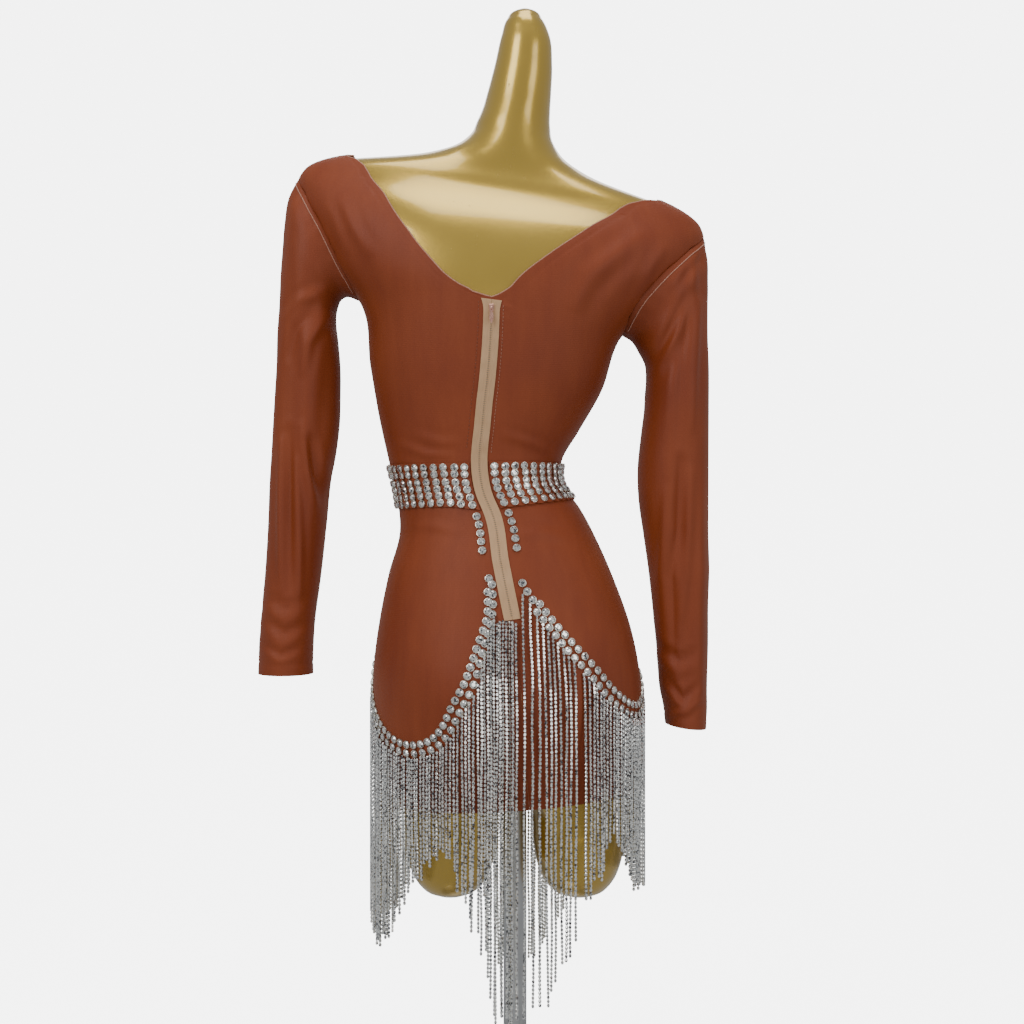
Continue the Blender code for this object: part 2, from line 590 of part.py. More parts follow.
def make_pull(metal, parts):
    """Teardrop pull tab, hung by the bar above its slot."""
    edge = [(half, -down) for down, half in TAB_HALF_WIDTHS]
    outline = edge + [(-x, z) for x, z in reversed(edge)]
    slot = [(TAB_SLOT_HALF, -TAB_BAR_RADIUS), (TAB_SLOT_HALF, -TAB_SLOT_END),
            (-TAB_SLOT_HALF, -TAB_SLOT_END), (-TAB_SLOT_HALF, -TAB_BAR_RADIUS)]
    shape = bmesh.new()
    for y in (-TAB_HALF_THICK, TAB_HALF_THICK):
        rings = []
        for ring in (outline, slot):
            rings.append([shape.verts.new((x * MM, y * MM, z * MM)) for x, z in ring])
        edges = []
        for ring in rings:
            edges += [shape.edges.new((ring[k], ring[(k + 1) % len(ring)])) for k in range(len(ring))]
        bmesh.ops.triangle_fill(shape, use_beauty=True, edges=edges)
    shape.verts.ensure_lookup_table()
    count = len(outline) + len(slot)
    for first, length in ((0, len(outline)), (len(outline), len(slot))):
        for k in range(length):
            a, b = first + k, first + (k + 1) % length
            corners = (shape.verts[a], shape.verts[b], shape.verts[b + count], shape.verts[a + count])
            shape.faces.new(corners)
    bmesh.ops.recalc_face_normals(shape, faces=shape.faces)
    mesh = bpy.data.meshes.new("zip_pull")
    shape.to_mesh(mesh)
    shape.free()
    mesh.materials.append(metal)
    pull = bpy.data.objects.new("zip_pull", mesh)
    pull.location = hinge_point()
    parts.objects.link(pull)


def hide_tool(item):
    """Shows a cutter or a joined piece as wire only."""
    item.hide_render = True
    item.display_type = "WIRE"


def move_to(item, parts, finish):
    for holder in list(item.users_collection):
        holder.objects.unlink(item)
    parts.objects.link(item)
    item.data.materials.clear()
    item.data.materials.append(finish)


def trim_line(table):
    """Evenly spaced rows of a trim, a stone apart: angle, height and half width along a smooth line."""
    table = np.array(table)
    knots = np.linspace(0, 1, len(table))
    fine = np.linspace(0, 1, 400)
    slope = np.gradient(table, knots, axis=0) * knots[1]
    low = np.clip(np.searchsorted(knots, fine, side="right") - 1, 0, len(knots) - 2)
    t = ((fine - knots[low]) / knots[1])[:, None]
    curve = table[low] * (2 * t ** 3 - 3 * t ** 2 + 1) + table[low + 1] * (3 * t ** 2 - 2 * t ** 3)
    curve += slope[low] * (t ** 3 - 2 * t ** 2 + t) + slope[low + 1] * (t ** 3 - t ** 2)
    line = skin(curve[:, 1], curve[:, 0], ON_CLOTH)
    run = np.concatenate([[0], np.cumsum(np.linalg.norm(np.diff(line, axis=0), axis=1))])
    at = np.linspace(0, run[-1], int(round(run[-1] / TRIM_STONE_PITCH)) + 1)
    return [np.interp(at, run, column) for column in curve.T]


def trim_rows(degrees, heights, offsets):
    """Angles and heights of lines beside a trim's middle line; each offset is metres down across it."""
    radius = ring_sizes(heights)[..., 3]
    along_x = np.gradient(np.radians(degrees) * radius)
    along_z = np.gradient(heights)
    length = np.hypot(along_x, along_z)
    down_x, down_z = along_z / length, -along_x / length
    flip = np.sign(np.sum(-down_z))
    rows_d = [degrees + np.degrees(flip * down_x * o / radius) for o in offsets]
    rows_h = [heights + flip * down_z * o for o in offsets]
    return np.array(rows_d), np.array(rows_h)


def hang(height, degrees, end):
    """A strand's line: out over the hip as far as it swells, then plumb down to its end."""
    root = on_cloth(height, degrees, STRAND_LIFT)
    outward = skin(height, degrees, STRAND_LIFT) - skin(height, degrees, 0.0)
    outward[2] = 0.0
    outward /= np.linalg.norm(outward)
    side = np.cross(outward, (0.0, 0.0, 1.0))
    line = [root]
    reach = 0.0
    lowest = max(HEM_HEIGHT, end + 0.02)
    for level in np.arange(height - STRAND_STEP, lowest, -STRAND_STEP):
        for _ in range(3):
            here = skin(level, degrees, STRAND_LIFT)
            turned = skin(level, degrees + 0.5, STRAND_LIFT)
            degrees -= 0.5 * np.dot(here - root, side) / np.dot(turned - here, side)
        here = on_cloth(level, degrees, STRAND_LIFT + STRAND_EASE)
        swell = float(np.dot(here - root, outward))
        if swell <= reach:
            break
        reach = swell
        line.append(np.array([root[0] + outward[0] * reach, root[1] + outward[1] * reach, here[2]]))
    line.append(np.array([line[-1][0], line[-1][1], end]))
    return np.array(line), outward


def strand(line, outward, width):
    """A three-sided strand along a line, flat towards the cloth."""
    side = np.cross(outward, (0.0, 0.0, 1.0))
    points = []
    for at in line:
        points += [at - side * width / 2 - outward * width * 0.4, at + side * width / 2 - outward * width * 0.4,
                   at + outward * width * 0.6]
    faces = []
    for k in range(len(line) - 1):
        for c in range(3):
            n = (c + 1) % 3
            faces.append((3 * k + c, 3 * k + n, 3 * k + 3 + n, 3 * k + 3 + c))
    faces += [(0, 1, 2), tuple(3 * len(line) - 3 + c for c in (2, 1, 0))]
    return points, faces


def make_fringe(name, table, seed, stones, parts, tools):
    """A trim of crystals with its strands fused to its lower edge."""
    degrees, heights, half = trim_line(table)
    rows_d, rows_h = trim_rows(degrees, heights, (half, 0.0 * half, -half))
    trim = wall(name, on_cloth(rows_h, rows_d, ON_CLOTH + TRIM_WALL), on_cloth(rows_h, rows_d, ON_CLOTH),
                stones, parts, stone_rise=TRIM_STONE_RISE)
    root_d, root_h = trim_rows(degrees, heights, (half - STRAND_ROOT * 0.5,))
    root_d, root_h = root_d[0], root_h[0]
    radius = ring_sizes(root_h)[..., 3]
    spread = np.concatenate([[0], np.cumsum(np.abs(np.diff(np.radians(root_d))) * (radius[1:] + 0.01))])
    count = int(spread[-1] / STRAND_PITCH)
    drift = np.random.default_rng(seed).uniform(-1, 1, count)
    points, faces = [], []
    for k in range(count):
        at = (k + 0.5) * spread[-1] / count
        degree, height = float(np.interp(at, spread, root_d)), float(np.interp(at, spread, root_h))
        x = float(skin(height, degree, STRAND_LIFT)[0])
        end = look_up(FRINGE_ENDS, x) + DRIFT * float(drift[k])
        line, outward = hang(height, degree, end)
        new_points, new_faces = strand(line, outward, STRAND_WIDTH)
        faces += [tuple(i + len(points) for i in face) for face in new_faces]
        points += new_points
    strands = new_object(name + " strands", points, faces, stones, tools)
    hide_tool(strands)
    join = trim.modifiers.new("strands", "BOOLEAN")
    join.operation = "UNION"
    join.object = strands
    join.use_self = True


def make_form(gold, parts, tools):
    """The display form: neck, shoulders and torso in one loft that parts into two thigh ends."""
    half = FORM_COLUMNS // 2
    degrees = BACK - np.arange(FORM_COLUMNS) * 360.0 / FORM_COLUMNS
    torso = [1.2205, 1.2170, 1.2090, 1.1922, 1.1600, 1.1270, 1.0980, 1.0760, 1.0620, 1.0540, 1.0480, 1.0420,
             1.0360, 1.0300, 1.0230, 1.0130, 0.9980, 0.9750, 0.9450, 0.9180, 0.8980, 0.8780, 0.8480, 0.8100, 0.7700,
             0.7332, 0.7150, 0.7000, 0.6850, 0.6684, 0.6250, 0.5800, 0.5350, 0.4900, 0.4500, CROTCH_HEIGHT]
    rings = np.array([skin(height, degrees, -FORM_INSET) for height in torso])
    points = list(rings.reshape(-1, 3))
    faces = grid_faces(len(torso), FORM_COLUMNS, True)
    tip = len(points)
    points.append(np.array([0.0108, 0.0, 1.2213]))
    faces += [(c, (c + 1) % FORM_COLUMNS, tip) for c in range(FORM_COLUMNS)]
    last = (len(torso) - 1) * FORM_COLUMNS
    front, back = points[last + half], points[last]
    saddle = []
    for k in range(1, 6):
        t = k / 6
        arch = math.sin(math.pi * t)
        saddle.append(len(points))
        points.append(front * (1 - t) + back * t + np.array([0.0, 0.0, 0.010 * arch]))
    left = [last + c for c in range(half + 1)] + saddle
    right = [last + half + c for c in range(half)] + [last] + list(reversed(saddle))
    for side, loop in (("left", left), ("right", right)):
        start = np.array([points[i] for i in loop])
        middle = np.array([THIGH_X[side], THIGH_Y])
        angle = np.arctan2((start[:, 1] - middle[1]) / THIGH_HALF_DEPTH, (start[:, 0] - middle[0]) / THIGH_HALF_WIDTH)
        below = loop
        for drop, share, size in ((0.385, 0.55, 1.0), (0.362, 0.85, 1.0), (0.340, 1.0, 1.0), (0.327, 1.0, 0.995),
                                  (0.305, 1.0, 0.93), (0.286, 1.0, 0.79), (0.272, 1.0, 0.56), (0.2662, 1.0, 0.30)):
            x = middle[0] + np.cos(angle) * THIGH_HALF_WIDTH * size
            y = middle[1] + np.sin(angle) * THIGH_HALF_DEPTH * size
            flat = np.stack([x, y, np.full(len(loop), drop)], -1)
            level = np.stack([start[:, 0], start[:, 1], np.full(len(loop), drop)], -1)
            first = len(points)
            points += list(level * (1 - share) + flat * share)
            ring = list(range(first, first + len(loop)))
            faces += [(below[c], below[(c + 1) % len(loop)], ring[(c + 1) % len(loop)], ring[c])
                      for c in range(len(loop))]
            below = ring
        points.append(np.array([middle[0], middle[1], THIGH_END]))
        faces += [(below[c], below[(c + 1) % len(below)], len(points) - 1) for c in range(len(below))]
    form = new_object("form", points, faces, gold, parts)
    bpy.ops.mesh.primitive_cylinder_add(vertices=16, radius=POLE_RADIUS + 2 * SEAM_GAP, depth=POLE_TOP - 0.2)
    socket = bpy.context.object
    socket.name = "pole socket cutter"
    socket.location.z = (POLE_TOP + 0.2) / 2
    move_to(socket, tools, gold)
    hide_tool(socket)
    cut = form.modifiers.new("pole socket", "BOOLEAN")
    cut.operation = "DIFFERENCE"
    cut.object = socket


def make_stand(steel, parts):
    """Round base plate with its collar, and the pole up into the form."""
    profile = [(0.0, COLLAR_HEIGHT), (COLLAR_RADIUS, COLLAR_HEIGHT), (COLLAR_RADIUS, BASE_THICKNESS + 0.004),
               (COLLAR_RADIUS + 0.004, BASE_THICKNESS), (BASE_RADIUS - 0.002, BASE_THICKNESS),
               (BASE_RADIUS, BASE_THICKNESS - 0.002), (BASE_RADIUS, 0.0), (0.0, 0.0)]
    mesh = bpy.data.meshes.new("stand_base")
    mesh.from_pydata([(x, 0.0, z) for x, z in profile], [(k, k + 1) for k in range(len(profile) - 1)], [])
    mesh.materials.append(steel)
    base = bpy.data.objects.new("stand_base", mesh)
    parts.objects.link(base)
    turned = base.modifiers.new("turned", "SCREW")
    turned.steps = 24
    turned.render_steps = 24
    turned.use_merge_vertices = True
    turned.merge_threshold = 0.00005
    bottom = COLLAR_HEIGHT + SEAM_GAP
    top = POLE_TOP - SEAM_GAP
    bpy.ops.mesh.primitive_cylinder_add(vertices=16, radius=POLE_RADIUS, depth=top - bottom)
    pole = bpy.context.object
    pole.name = "stand_pole"
    pole.location.z = (top + bottom) / 2
    move_to(pole, parts, steel)


def main():
    clear_scene()
    parts = bpy.data.collections.new("fringe dress on display form")
    tools = bpy.data.collections.new("cutters")
    for group in (parts, tools):
        bpy.context.scene.collection.children.link(group)
    cloth = material("rust stretch cloth", (0.270, 0.046, 0.016), 0.0, 0.62)
    tape = material("beige zip tape", (0.350, 0.235, 0.145), 0.0, 0.80)
    pull = material("rose metal", (0.720, 0.430, 0.330), 1.0, 0.25)
    stones = material("crystal in silver", (0.780, 0.780, 0.760), 0.9, 0.18)
    gold = material("glossy gold paint", (0.560, 0.400, 0.100), 0.6, 0.22)
    steel = material("satin steel", (0.550, 0.550, 0.550), 1.0, 0.35)
    make_form(gold, parts, tools)
    make_stand(steel, parts)
    make_panels(cloth, parts)
    make_sleeves(cloth, parts)
    make_waistband(stones, parts)
    make_tapes(tape, parts)
    make_slider(pull, parts, tools)
    make_pull(pull, parts)
    fringes = (("fringe_back_left", TRIM_BACK_LEFT), ("fringe_back_right", TRIM_BACK_RIGHT),
               ("fringe_front_left", TRIM_FRONT_LEFT), ("fringe_front_right", TRIM_FRONT_RIGHT),
               ("fringe_back_middle", TRIM_MIDDLE))
    for seed, (name, table) in enumerate(fringes):
        make_fringe(name, table, seed, stones, parts, tools)


main()
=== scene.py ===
"""Fringe dress in rust stretch cloth on a gold limbless display form, seen from its zip side.

Metres, +Z up. The zip side of the dress faces -Y, and the wearer's front faces +Y.
"""

import math

import bmesh
import bpy
import numpy as np
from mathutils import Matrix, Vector


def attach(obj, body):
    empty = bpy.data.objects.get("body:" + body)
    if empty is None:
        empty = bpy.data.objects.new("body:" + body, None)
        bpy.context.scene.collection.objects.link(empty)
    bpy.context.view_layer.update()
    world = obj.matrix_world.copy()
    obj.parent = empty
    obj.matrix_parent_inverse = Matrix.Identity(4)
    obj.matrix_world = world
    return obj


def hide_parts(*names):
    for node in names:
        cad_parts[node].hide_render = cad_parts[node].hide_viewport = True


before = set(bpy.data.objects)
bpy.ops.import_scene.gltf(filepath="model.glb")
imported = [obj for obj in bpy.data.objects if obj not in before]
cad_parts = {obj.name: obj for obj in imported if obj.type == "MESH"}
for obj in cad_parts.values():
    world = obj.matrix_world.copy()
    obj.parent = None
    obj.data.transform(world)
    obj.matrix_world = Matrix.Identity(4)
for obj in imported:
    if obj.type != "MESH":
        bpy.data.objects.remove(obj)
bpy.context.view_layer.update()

# Clearances and walls, as the solids have them
CLOTH_LIFT = 0.0026
CLOTH_WALL = 0.0012
CLOTH_TOP = CLOTH_LIFT + CLOTH_WALL
SEAM_GAP = 0.0003
ON_CLOTH = CLOTH_TOP + SEAM_GAP
FORM_INSET = 0.0008

# The figure that the cloth is cut for, a ring a row:
# height, middle x, roll in degrees (left side up), half width, depth at the back, depth at the front,
# squareness
FIGURE = np.array([
    (0.3400, 0.0011, -4.0, 0.1165, 0.094, 0.080, 2.10),
    (0.3768, 0.0000, -4.0, 0.1235, 0.100, 0.083, 2.15),
    (0.4200, -0.0054, -5.0, 0.1365, 0.108, 0.088, 2.20),
    (0.4740, -0.0076, -7.0, 0.1404, 0.112, 0.090, 2.20),
    (0.5280, -0.0130, -8.0, 0.1367, 0.110, 0.088, 2.20),
    (0.5820, -0.0184, -8.0, 0.1242, 0.104, 0.086, 2.20),
    (0.6252, -0.0227, -8.0, 0.1107, 0.094, 0.082, 2.20),
    (0.6684, -0.0270, -7.0, 0.0940, 0.080, 0.078, 2.20),
    (0.7008, -0.0383, -4.0, 0.0854, 0.072, 0.074, 2.20),
    (0.7332, -0.0427, 0.0, 0.0897, 0.073, 0.073, 2.20),
    (0.7710, -0.0383, 3.0, 0.1038, 0.080, 0.076, 2.25),
    (0.8196, -0.0313, 6.0, 0.1210, 0.090, 0.085, 2.30),
    (0.8870, -0.0259, 7.6, 0.1394, 0.098, 0.091, 2.35),
    (0.9188, -0.0272, 8.0, 0.1650, 0.098, 0.088, 2.35),
    (0.9508, -0.0225, 8.4, 0.1910, 0.092, 0.079, 2.35),
    (0.9829, -0.0177, 8.4, 0.2110, 0.078, 0.066, 2.30),
    (1.0075, -0.0141, 8.4, 0.2155, 0.062, 0.058, 2.20),
    (1.0171, -0.0127, 8.4, 0.2080, 0.057, 0.054, 2.20),
    (1.0256, -0.0114, 8.4, 0.1920, 0.054, 0.051, 2.15),
    (1.0309, -0.0106, 8.4, 0.1770, 0.052, 0.049, 2.10),
    (1.0369, -0.0098, 8.4, 0.1480, 0.050, 0.047, 2.10),
    (1.0470, -0.0083, 8.4, 0.1030, 0.048, 0.045, 2.00),
    (1.0576, -0.0067, 8.0, 0.0730, 0.047, 0.044, 2.00),
    (1.0790, -0.0036, 6.0, 0.0460, 0.044, 0.041, 2.00),
    (1.0950, -0.0016, 4.0, 0.0405, 0.041, 0.039, 2.00),
    (1.1112, 0.0016, 2.0, 0.0373, 0.038, 0.036, 2.00),
    (1.1274, 0.0043, 0.0, 0.0356, 0.035, 0.034, 2.00),
    (1.1598, 0.0092, 0.0, 0.0319, 0.031, 0.031, 2.00),
    (1.1922, 0.0113, 0.0, 0.0265, 0.026, 0.026, 2.00),
    (1.2084, 0.0103, 0.0, 0.0200, 0.020, 0.020, 2.00),
    (1.2180, 0.0106, 0.0, 0.0115, 0.011, 0.011, 2.00),
    (1.2213, 0.0108, 0.0, 0.0030, 0.003, 0.003, 2.00),
])
FIGURE_SLOPE = np.gradient(FIGURE, FIGURE[:, 0], axis=0)

# Soft mounds on the figure: x, height, radius, depth (towards the front where positive)
MOUNDS = (
    (-0.092, 0.905, 0.046, 0.026),
    (0.042, 0.889, 0.046, 0.026),
    (-0.066, 0.500, 0.055, -0.010),
    (0.052, 0.484, 0.055, -0.010),
)

# Angles round a ring, in degrees: wearer's right, wearer's left, back middle
RIGHT, LEFT, BACK = 0.0, 180.0, 270.0

# Dress
HEM_HEIGHT = 0.374
ARMPIT_HEIGHT = 0.8874
SHOULDER_HEIGHT = 1.0046
STRAP_HEIGHT = 1.0335
ARMHOLE_OPENING = {"left": 25.0, "right": 29.0}
SEAM_ANGLE = 0.04
PANEL_COLUMNS = 54
SIDE_ROWS, ARMHOLE_ROWS, STRAP_ROWS = 168, 44, 14
BEAD_SIDES = 7

# Necklines: height, and degrees in from the shoulder line
NECK_BACK = {
    "left": ((0.8960, 91.0), (0.8985, 83.0), (0.9100, 75.0), (0.9393, 66.4), (0.9635, 61.4),
             (0.9908, 56.8), (1.0174, 47.9), (1.0242, 41.0), (1.0350, 0.0)),
    "right": ((0.8960, 89.0), (0.9050, 82.3), (0.9217, 78.8), (0.9418, 74.0), (0.9595, 69.9),
              (0.9871, 63.4), (1.0169, 53.9), (1.0260, 43.0), (1.0350, 0.0)),
}
NECK_FRONT = ((0.9250, 90.0), (0.9300, 84.0), (0.9600, 70.0), (0.9900, 58.0), (1.0180, 46.0),
              (1.0242, 38.0), (1.0350, 0.0))

# Zip line: height, and degrees past the back middle
ZIP_LINE = ((0.3700, 6.5), (0.5655, 6.2), (0.6263, 4.0), (0.6883, 2.8), (0.7416, 3.6),
            (0.7926, 2.0), (0.8745, 0.8), (0.9000, 0.8))
ZIP_TOP = 0.8935
ZIP_BOTTOM = 0.5655
TAPE_WIDTH = 0.0082
TAPE_WALL = 0.0008
WAIST_HEIGHT = 0.70
WAIST_HALF_WIDTH = 0.0854

# Sleeves, a ring a row: outer x and z, inner x and z, middle y, half depth
SLEEVE_LEFT = np.array([
    (-0.2441, 1.0140, -0.1804, 0.9092, 0.000, 0.045),
    (-0.2484, 0.9870, -0.1879, 0.9060, 0.001, 0.047),
    (-0.2506, 0.9600, -0.1912, 0.8995, 0.002, 0.048),
    (-0.2527, 0.9330, -0.1933, 0.8898, 0.002, 0.048),
    (-0.2538, 0.9006, -0.1933, 0.8779, 0.003, 0.048),
    (-0.2560, 0.8682, -0.1912, 0.8606, 0.003, 0.047),
    (-0.2570, 0.8358, -0.1890, 0.8325, 0.004, 0.046),
    (-0.2592, 0.8034, -0.1890, 0.8034, 0.005, 0.045),
    (-0.2614, 0.7710, -0.1901, 0.7710, 0.006, 0.044),
    (-0.2635, 0.7386, -0.1944, 0.7386, 0.007, 0.043),
    (-0.2657, 0.7062, -0.2009, 0.7062, 0.008, 0.042),
    (-0.2678, 0.6576, -0.2052, 0.6576, 0.009, 0.041),
    (-0.2711, 0.6090, -0.2106, 0.6090, 0.010, 0.039),
    (-0.2754, 0.5604, -0.2171, 0.5604, 0.010, 0.037),
    (-0.2776, 0.5280, -0.2192, 0.5226, 0.010, 0.036),
    (-0.2786, 0.5020, -0.2192, 0.5020, 0.010, 0.035),
])
SLEEVE_RIGHT = np.array([
    (0.2074, 0.9513, 0.1264, 0.8606, 0.000, 0.045),
    (0.2084, 0.9254, 0.1339, 0.8487, 0.001, 0.047),
    (0.2084, 0.8952, 0.1404, 0.8358, 0.002, 0.048),
    (0.2084, 0.8628, 0.1415, 0.8196, 0.002, 0.048),
    (0.2095, 0.8304, 0.1404, 0.8034, 0.003, 0.048),
    (0.2095, 0.7980, 0.1393, 0.7850, 0.003, 0.047),
    (0.2095, 0.7656, 0.1361, 0.7591, 0.004, 0.046),
    (0.2095, 0.7278, 0.1328, 0.7245, 0.005, 0.045),
    (0.2095, 0.6900, 0.1339, 0.6900, 0.006, 0.044),
    (0.2095, 0.6522, 0.1393, 0.6522, 0.007, 0.043),
    (0.2106, 0.6144, 0.1447, 0.6144, 0.008, 0.042),
    (0.2095, 0.5766, 0.1490, 0.5766, 0.009, 0.040),
    (0.2095, 0.5334, 0.1534, 0.5334, 0.010, 0.038),
    (0.2084, 0.4902, 0.1566, 0.4902, 0.010, 0.036),
    (0.2084, 0.4653, 0.1609, 0.4675, 0.010, 0.035),
    (0.2074, 0.4427, 0.1631, 0.4481, 0.010, 0.035),
])

SLEEVE_COLUMNS = 108
SLEEVE_STEPS = 8

# Folds down a sleeve: first ring, last ring, angle at each in degrees (0 inner, 90 back, 180 outer), width,
# depth
FOLDS_LEFT = (
    (3.0, 15.0, 118.0, 96.0, 22.0, -0.0035),
    (4.0, 12.0, 150.0, 140.0, 18.0, 0.0022),
    (6.0, 11.0, 40.0, 62.0, 22.0, -0.0040),
    (2.0, 6.0, 62.0, 92.0, 24.0, -0.0030),
    (4.0, 14.0, 250.0, 268.0, 24.0, -0.0030),
)
FOLDS_RIGHT = (
    (0.5, 7.0, 148.0, 108.0, 20.0, -0.0045),
    (6.0, 15.0, 108.0, 84.0, 22.0, -0.0045),
    (1.0, 5.0, 112.0, 52.0, 22.0, -0.0040),
    (8.0, 15.0, 130.0, 122.0, 18.0, 0.0025),
    (4.0, 14.0, 262.0, 244.0, 24.0, -0.0030),
)

# Waistband of crystals: degrees round from the zip, top height, bottom height
BAND_EDGE = (
    (-285.0, 0.7277, 0.6745), (-270.0, 0.7255, 0.6775), (-252.0, 0.7195, 0.6830), (-226.0, 0.7230, 0.6880),
    (-200.0, 0.7270, 0.6800), (-90.0, 0.7290, 0.6780), (0.0, 0.7290, 0.6780), (90.0, 0.7290, 0.6850),
    (180.0, 0.7292, 0.6900), (230.0, 0.7281, 0.6876), (250.0, 0.7280, 0.6848), (271.0, 0.7277, 0.6766),
)
BAND_ROWS = 6
BAND_STONE_PITCH = 0.0105
BAND_WALL = 0.0012
BAND_LIFT = ON_CLOTH + 0.0004
BAND_CRYSTAL = 0.0041

# Crystal trims that carry the fringe, along their middle line: degrees, height, half width
TRIM_BACK_LEFT = ((267.3, 0.6138, 0.0050), (267.4, 0.5940, 0.0060), (266.2, 0.5720, 0.0080),
                  (261.6, 0.5453, 0.0092), (255.9, 0.5110, 0.0092), (249.5, 0.4864, 0.0092),
                  (244.2, 0.4640, 0.0092), (239.0, 0.4515, 0.0092), (232.0, 0.4455, 0.0092),
                  (224.0, 0.4455, 0.0092), (215.7, 0.4515, 0.0092), (206.6, 0.4630, 0.0092),
                  (197.0, 0.4800, 0.0092), (188.5, 0.4970, 0.0092), (180.6, 0.5120, 0.0092))
TRIM_FRONT_LEFT = ((179.4, 0.5143, 0.0092), (171.5, 0.5290, 0.0092), (158.0, 0.5510, 0.0092),
                   (140.0, 0.5730, 0.0092), (115.0, 0.5910, 0.0092), (91.0, 0.5990, 0.0092))
TRIM_BACK_RIGHT = ((282.3, 0.6046, 0.0050), (285.4, 0.5867, 0.0052), (291.8, 0.5582, 0.0065),
                   (299.2, 0.5290, 0.0092), (307.6, 0.5017, 0.0092), (315.9, 0.4775, 0.0092),
                   (326.6, 0.4607, 0.0092), (337.4, 0.4550, 0.0092), (348.5, 0.4610, 0.0092),
                   (359.4, 0.4715, 0.0092))
TRIM_FRONT_RIGHT = ((0.6, 0.4738, 0.0092), (11.5, 0.4850, 0.0092), (28.0, 0.5180, 0.0092),
                    (48.0, 0.5560, 0.0092), (70.0, 0.5860, 0.0092), (89.0, 0.5990, 0.0092))
TRIM_MIDDLE = ((269.4, 0.5712, 0.0050), (275.0, 0.5705, 0.0050), (279.0, 0.5690, 0.0050))
TRIM_STONE_PITCH = 0.0100
TRIM_CRYSTAL = 0.0042
TWO_ROWS_FROM = 0.0055

# Strands: how low they end at each x, how far that drifts, and the gap that parts those on the back right
FRINGE_ENDS = ((-0.152, 0.246), (-0.146, 0.230), (-0.139, 0.224), (-0.132, 0.232),
               (-0.123, 0.256), (-0.103, 0.295), (-0.079, 0.329),
               (-0.066, 0.326), (-0.050, 0.284), (-0.031, 0.230), (-0.021, 0.165), (0.004, 0.163),
               (0.022, 0.176), (0.039, 0.204), (0.062, 0.257), (0.071, 0.284), (0.086, 0.303),
               (0.099, 0.345), (0.109, 0.327), (0.121, 0.287), (0.140, 0.280))
DRIFT = 0.010
FRINGE_PARTING = (0.0590, 0.0680)
FRINGE_MIDDLE, FRINGE_MIDDLE_REACH = 277.0, 26
PITCH_NEAR_ZIP, PITCH_FURTHER, PITCH_UNDER_ZIP = 0.0045, 0.0040, 0.0031
LINK_WIDTH = 0.0034
LINK_PITCH = 0.0041

# Thigh ends of the form, and the stand
CROTCH_HEIGHT = 0.408
THIGH_X = {"left": -0.0690, "right": 0.0685}
THIGH_HALF_WIDTH = 0.0495
THIGH_HALF_DEPTH = 0.0540
THIGH_Y = -0.008
THIGH_END = 0.2650
# Rings of a thigh end: height, how far it has turned from the torso's edge into an oval, and its size
THIGH_RINGS = (
    (0.403, 0.10, 1.0), (0.385, 0.55, 1.0), (0.362, 0.85, 1.0), (0.340, 1.0, 1.0), (0.327, 1.0, 0.995),
    (0.305, 1.0, 0.93), (0.286, 1.0, 0.79), (0.272, 1.0, 0.56), (0.2662, 1.0, 0.30),
)
FORM_COLUMNS = 96
FORM_TIP = (0.0108, 0.0, 1.2213)
SADDLE_STEPS = 24
SOCKET_LOW = 0.2
POLE_RADIUS = 0.0125
POLE_TOP = 0.452
BASE_RADIUS = 0.150
BASE_THICKNESS = 0.010
COLLAR_RADIUS = 0.022
COLLAR_HEIGHT = 0.028

# Creases pulled in the cloth: the line's x and z, the side of the piece, half width, height of the ridge
BACK_LEFT_CREASES = (
    (((-0.1938, 0.9949), (-0.1731, 0.9442)), "back", 0.0050, 0.0016),
    (((-0.1793, 0.9990), (-0.1680, 0.9700), (-0.1503, 0.9400)), "back", 0.0060, 0.0018),
    (((-0.1640, 0.9640), (-0.1500, 0.9150), (-0.1440, 0.8840)), "back", 0.0070, -0.0010),
    (((-0.1000, 0.7560), (-0.0760, 0.7480), (-0.0560, 0.7500)), "back", 0.0045, 0.0010),
    (((-0.1210, 0.7480), (-0.0930, 0.7370), (-0.0620, 0.7360)), "back", 0.0035, 0.0012),
    (((-0.1120, 0.6640), (-0.0820, 0.6620), (-0.0520, 0.6560)), "back", 0.0045, 0.0010),
    (((-0.1420, 0.4300), (-0.1050, 0.4080), (-0.0640, 0.4000)), "back", 0.0080, 0.0010),
)
BACK_RIGHT_CREASES = (
    (((0.1287, 0.9624), (0.0990, 0.9390), (0.0765, 0.9204), (0.0581, 0.8826)), "back", 0.0080, 0.0020),
    (((0.1180, 0.9350), (0.0850, 0.9020), (0.0700, 0.8700)), "back", 0.0070, -0.0010),
    (((0.1540, 0.9520), (0.1380, 0.9250), (0.1290, 0.8960)), "back", 0.0050, 0.0015),
    (((-0.0130, 0.8900), (-0.0060, 0.8840), (0.0000, 0.8690)), "back", 0.0022, 0.0010),
    (((-0.0120, 0.8780), (-0.0040, 0.8700), (0.0010, 0.8570)), "back", 0.0020, 0.0008),
    (((-0.0100, 0.7560), (0.0180, 0.7480), (0.0420, 0.7380)), "back", 0.0040, 0.0011),
    (((-0.0050, 0.6520), (0.0280, 0.6560), (0.0560, 0.6500)), "back", 0.0045, 0.0010),
    (((0.0540, 0.4300), (0.0900, 0.4120), (0.1260, 0.4080)), "back", 0.0080, 0.0010),
)
